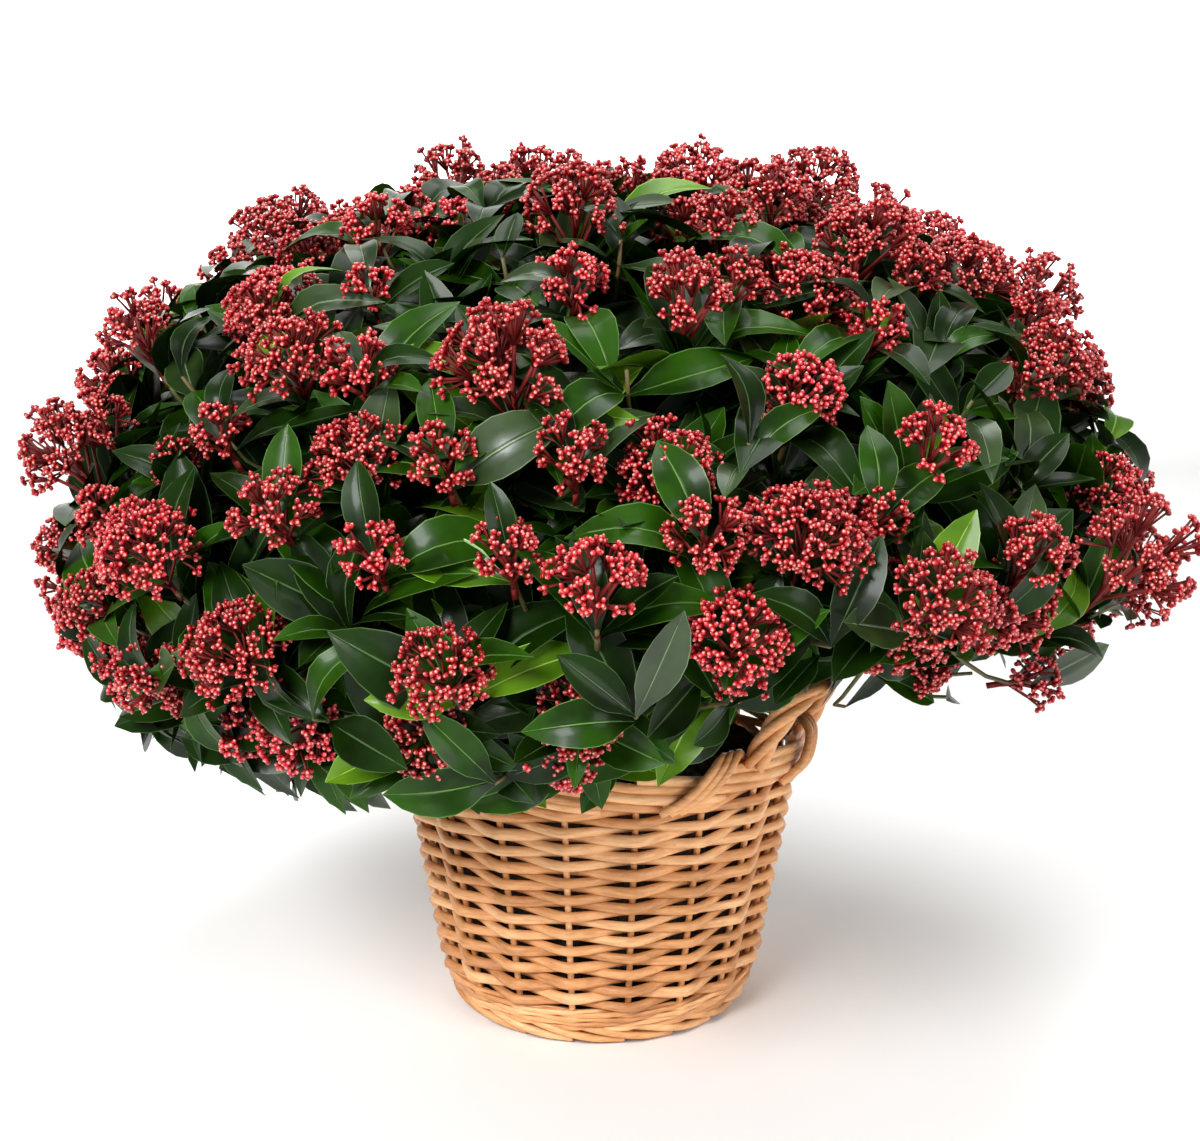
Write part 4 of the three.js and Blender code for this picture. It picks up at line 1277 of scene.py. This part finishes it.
# %% Finer shoots between and behind
# Each layer's depth in the crown, the distances between its shoots and to others, leaves in its two
# whorls, share of shoots with a head (low down and high up) and size of leaves
FINE_LAYERS = (
    (0.92, 60, 50, (3, 3), (0.5, 0.75), 0.84),
    (0.76, 58, 30, (5, 4), (0, 0), 0.9),
    (0.6, 64, 30, (5, 4), (0, 0), 1.0),
)
FINE_LOWEST, STEM_ROOM, STEM_LEVEL = 215, 60, 300  # no fine shoots under the first or round the stem
FINE_STEP = 16  # between a fine shoot's whorls
FINE_HEAD_RADIUS, FINE_HEAD_HEIGHT, FINE_FULLNESS = (19, 27), 2.1, 0.7
FINE_HEAD_DROP, FINE_HEAD_LIMIT = 22, 0.95  # below the twig's end, and how far out in the crown
grown = np.array(grown)
for depth, spacing, clearance, (first, second), heads, scale in FINE_LAYERS:
    fresh = np.zeros((0, 3))
    for way, reach, owner in zip(trial_ways, trial_reaches, trial_owners):
        place = APEX + way * reach * depth
        if place[2] < FINE_LOWEST or math.hypot(place[0], place[1]) < STEM_ROOM and place[2] < STEM_LEVEL:
            continue
        if nearest(grown, place) < clearance or nearest(fresh, place) < spacing:
            continue
        if not clear_of_handles(place[None], (HANDLE_SPACE,)):
            continue
        fresh = np.vstack([fresh, place])
        level = smoothstep(place[2], SHOOT_LEVELS)
        axis, mass = shoot_axis(way, level), masses[owner]
        path = lifted(twig_path(mass, mass["stemlet"], fine.random(), place, axis, 6))
        place = path[-1]
        turn, sag = fine.uniform(*ANY_TURN), FINE_SAG * (1 - level)
        flowering = between(heads, level)
        limit = between(LEAF_LIMITS, level) if flowering else FILLER_LIMIT
        before = len(all_leaves) + len(all_buds)
        grow_leaves(place, axis, first, (50, 80), turn, fine, limit, scale * 0.9, sag)
        grow_leaves(place - axis * FINE_STEP, axis, second, (60, 95), turn + 1, fine, limit, scale, sag)
        if fine.random() < flowering and leaf_level(place) < FINE_HEAD_LIMIT:
            radius = fine.uniform(*FINE_HEAD_RADIUS)
            height, shade = radius * FINE_HEAD_HEIGHT, bud_shade(level)
            grow_head(place - axis * FINE_HEAD_DROP, axis, height, radius, fine, shade, FINE_FULLNESS)
        if len(all_leaves) + len(all_buds) > before:
            add_twig(path, FINE_RADII, 5)
    print("finer shoots at", depth, ":", len(fresh), "leaves so far:", len(all_leaves))

# %% [markdown]
# ## Finishes of the plant
# Leaves are dark and waxy with a pale rib and a thin pale edge, so their colour follows the leaf's own
# marks, and a coat gives the wax. One of their shades, a paler grey-green, is a painted sheen and is dealt
# out more often high up. Buds are glossy crimson, darker at the foot and lighter towards the tip with
# painted shade and light, and paler at the very tip, partly their own pale tip and partly a painted
# highlight. Each kind comes in a few shades that are dealt out leaf by leaf and head by head, because a
# plant in one green looks moulded.

# %% Leaf finishes
LEAF_TONES = {
    "deep": ((4, 15, 0), (18, 43, 2), 0.12),
    "green": ((7, 26, 0), (35, 72, 4), 0.12),
    # The grey-green shade paints a sheen on the leaves: a paler, greyer green where the sky is reflected
    "painted_sheen": ((16, 32, 9), (44, 66, 26), 0.45),
    "bright": ((44, 82, 6), (88, 128, 20), 0.16),
}
LEAF_PALER = 56  # steps by which rib and edge are paler than the leaf


def leaf_finish(name, dark, light, gloss):
    finish = Finish(f"leaf_{name}", roughness=0.36, specular_ior_level=gloss)
    finish.set(coat_weight=0.09, coat_roughness=0.14)
    across, along = finish.mark("X"), finish.mark("Y")
    aside = (across - 0.5).size()
    patches = finish.noise(32, detail=3)
    body = finish.blend((patches * 0.8 + along * 0.3).from_to(0.3, 0.8), dark, light)
    rib, edge = 1 - aside.from_to(0.008, 0.024), aside.from_to(0.47, 0.495)
    pale = [min(255, step + LEAF_PALER) for step in light]
    finish.set(base_color=finish.blend((rib * 0.75 + edge * 0.75).from_to(0, 1), body, pale))
    finish.relief(aside.from_to(0, 0.05) * 0.5 + patches, 0.0008)
    return finish


leaf_finishes = {name: leaf_finish(name, *tones) for name, tones in LEAF_TONES.items()}

# %% Bud and stalk finishes
# Each shade's first colour is the bud in painted shade and its second the bud lit, run from foot to tip
BUD_TONES = {
    "crimson": ((112, 0, 5), (166, 10, 20)),
    "red": ((126, 1, 9), (184, 20, 32)),
    "rose": ((138, 6, 16), (198, 42, 54)),
}
# The very tip is paler: partly the bud's own pale tip, partly a painted highlight
BUD_TIP_AND_PAINTED_HIGHLIGHT = (240, 176, 162)


def bud_finish(name, dark, light):
    finish = Finish(f"bud_{name}", roughness=0.34, specular_ior_level=0.3)
    finish.set(coat_weight=0.32, coat_roughness=0.12)
    along = finish.mark("Y")
    # Darker at the foot and lighter towards the tip, painted shade and light, with some random tone
    painted_shade_to_light = (along * 0.8 + finish.noise(90, detail=2) * 0.4).from_to(0.35, 0.95)
    body = finish.blend(painted_shade_to_light, dark, light)
    finish.set(base_color=finish.blend(along.from_to(0.76, 1) * 0.9, body, BUD_TIP_AND_PAINTED_HIGHLIGHT))
    return finish


bud_finishes = [bud_finish(name, *tones) for name, tones in BUD_TONES.items()]

stalk_finish = Finish("stalk_red_brown", roughness=0.55, specular_ior_level=0.3)
stalk_finish.set(base_color=stalk_finish.blend(stalk_finish.noise(120), (88, 10, 10), (128, 30, 24)))
twig_finish = Finish("twig_green", roughness=0.5)
patches = twig_finish.noise(40, detail=4).from_to(0.35, 0.65)
twig_finish.set(base_color=twig_finish.blend(patches, (70, 82, 34), (98, 76, 46)))
print("plant finishes:", len(leaf_finishes) + len(bud_finishes) + 2)

# %% Leaves become pieces
roots, ways, normals, sizes, shades, bends = map(np.array, zip(*all_leaves))
sides = np.cross(ways, normals)
for number, (name, finish) in enumerate(leaf_finishes.items()):
    heap = Heap()
    for kind, model in enumerate(leaf_models):
        some = (shades == number) & (bends == kind)
        scatter(heap, model, roots[some], sides[some], ways[some], normals[some], sizes[some])
    heap.piece(f"leaves_{name}", finish, "foliage", *foliage_nodes)

# %% Buds and stalks become pieces
BUDS_A_PIECE = 9000
places, bud_ways, bud_shades = map(np.concatenate, zip(*all_buds))
across = units(np.cross(bud_ways, fine.normal(0, 1, bud_ways.shape)))
turned = np.cross(bud_ways, across)
bud_long = fine.uniform(*BUD_LENGTH, len(places))
bud_wide = fine.uniform(*BUD_WIDTH, len(places))
bud_sizes = np.stack([bud_wide, bud_wide, bud_long], 1)
for number, name in enumerate(BUD_TONES):
    chosen = np.flatnonzero(bud_shades == number)
    for part, start in enumerate(range(0, len(chosen), BUDS_A_PIECE)):
        some = chosen[start : start + BUDS_A_PIECE]
        heap = Heap()
        scatter(heap, bud_model, places[some], across[some], turned[some], bud_ways[some], bud_sizes[some])
        heap.piece(f"buds_{name}_{part + 1}", bud_finishes[number], "foliage", *foliage_nodes)

stalk_heap = Heap()
thin_rods(stalk_heap, *map(np.concatenate, zip(*all_stalks)))
stalk_heap.piece("bud_stalks", stalk_finish, "foliage", *foliage_nodes)
twig_heap.piece("twigs", twig_finish, "foliage", *foliage_nodes)

# %% [markdown]
# ## Stem and boughs
# The plant forks from a short woody stem that the leaves hide. Old skimmia bark is grey-brown with
# shallow ridges along the limb. The limbs are swept along the source's own curves, with more sections,
# and each section is made lumpy by seeded ridges, so the relief shows in the mesh itself.

# %% Bark
bark_finish = Finish("bark", roughness=0.85)
ridges = bark_finish.noise(220, stretch=(1, 1, 0.3), detail=5)
bark_finish.set(base_color=bark_finish.blend(ridges.from_to(0.35, 0.7), (58, 44, 30), (128, 108, 80)))
bark_finish.relief(ridges, 0.0015)

BOUGH_SIDES, BOUGH_RELIEF, STEM_SIDES, STEM_RELIEF = 12, 0.05, 26, 0.035
bark_random = np.random.default_rng(77)
limb_heap = Heap()


def barked(path, radii, sides, depth):
    """A limb whose sections are lumpy: ridges that run along it, broken by finer bumps."""
    ridge = bark_random.normal(0, depth, sides)
    bumps = bark_random.normal(0, depth * 0.6, (len(path), sides))
    smoothed = (bumps + np.roll(bumps, 1, 0) + np.roll(bumps, -1, 0)) / 3
    limb_heap.add(*sweep(path, radii, sides, lumps=1 + ridge + smoothed))


for mass in masses:
    barked(bezier(*mass["bough"], BOUGH_BULGE, 20), np.linspace(*BOUGH_RADII, 21), BOUGH_SIDES, BOUGH_RELIEF)
stem_heights = np.linspace(STEM_FOOT, STEM_TOP, 26)
barked(stem_heights[:, None] * UP, stem_radius(stem_heights), STEM_SIDES, STEM_RELIEF)
limb_heap.piece("stem_and_boughs", bark_finish, "bark", "main_stem", *bough_nodes)

# %% [markdown]
# ## Sizes against the solids
# The looks stand up to a few millimetres proud of the solids, and both boxes are printed side by side.

# %% Sizes, and the end
new_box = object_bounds()
for axis, letter in enumerate("xyz"):
    proud = (cad_box[0][axis] - new_box[0][axis], new_box[1][axis] - cad_box[1][axis])
    print(letter, "stands proud by", [round(value / MM, 1) for value in proud], "mm")
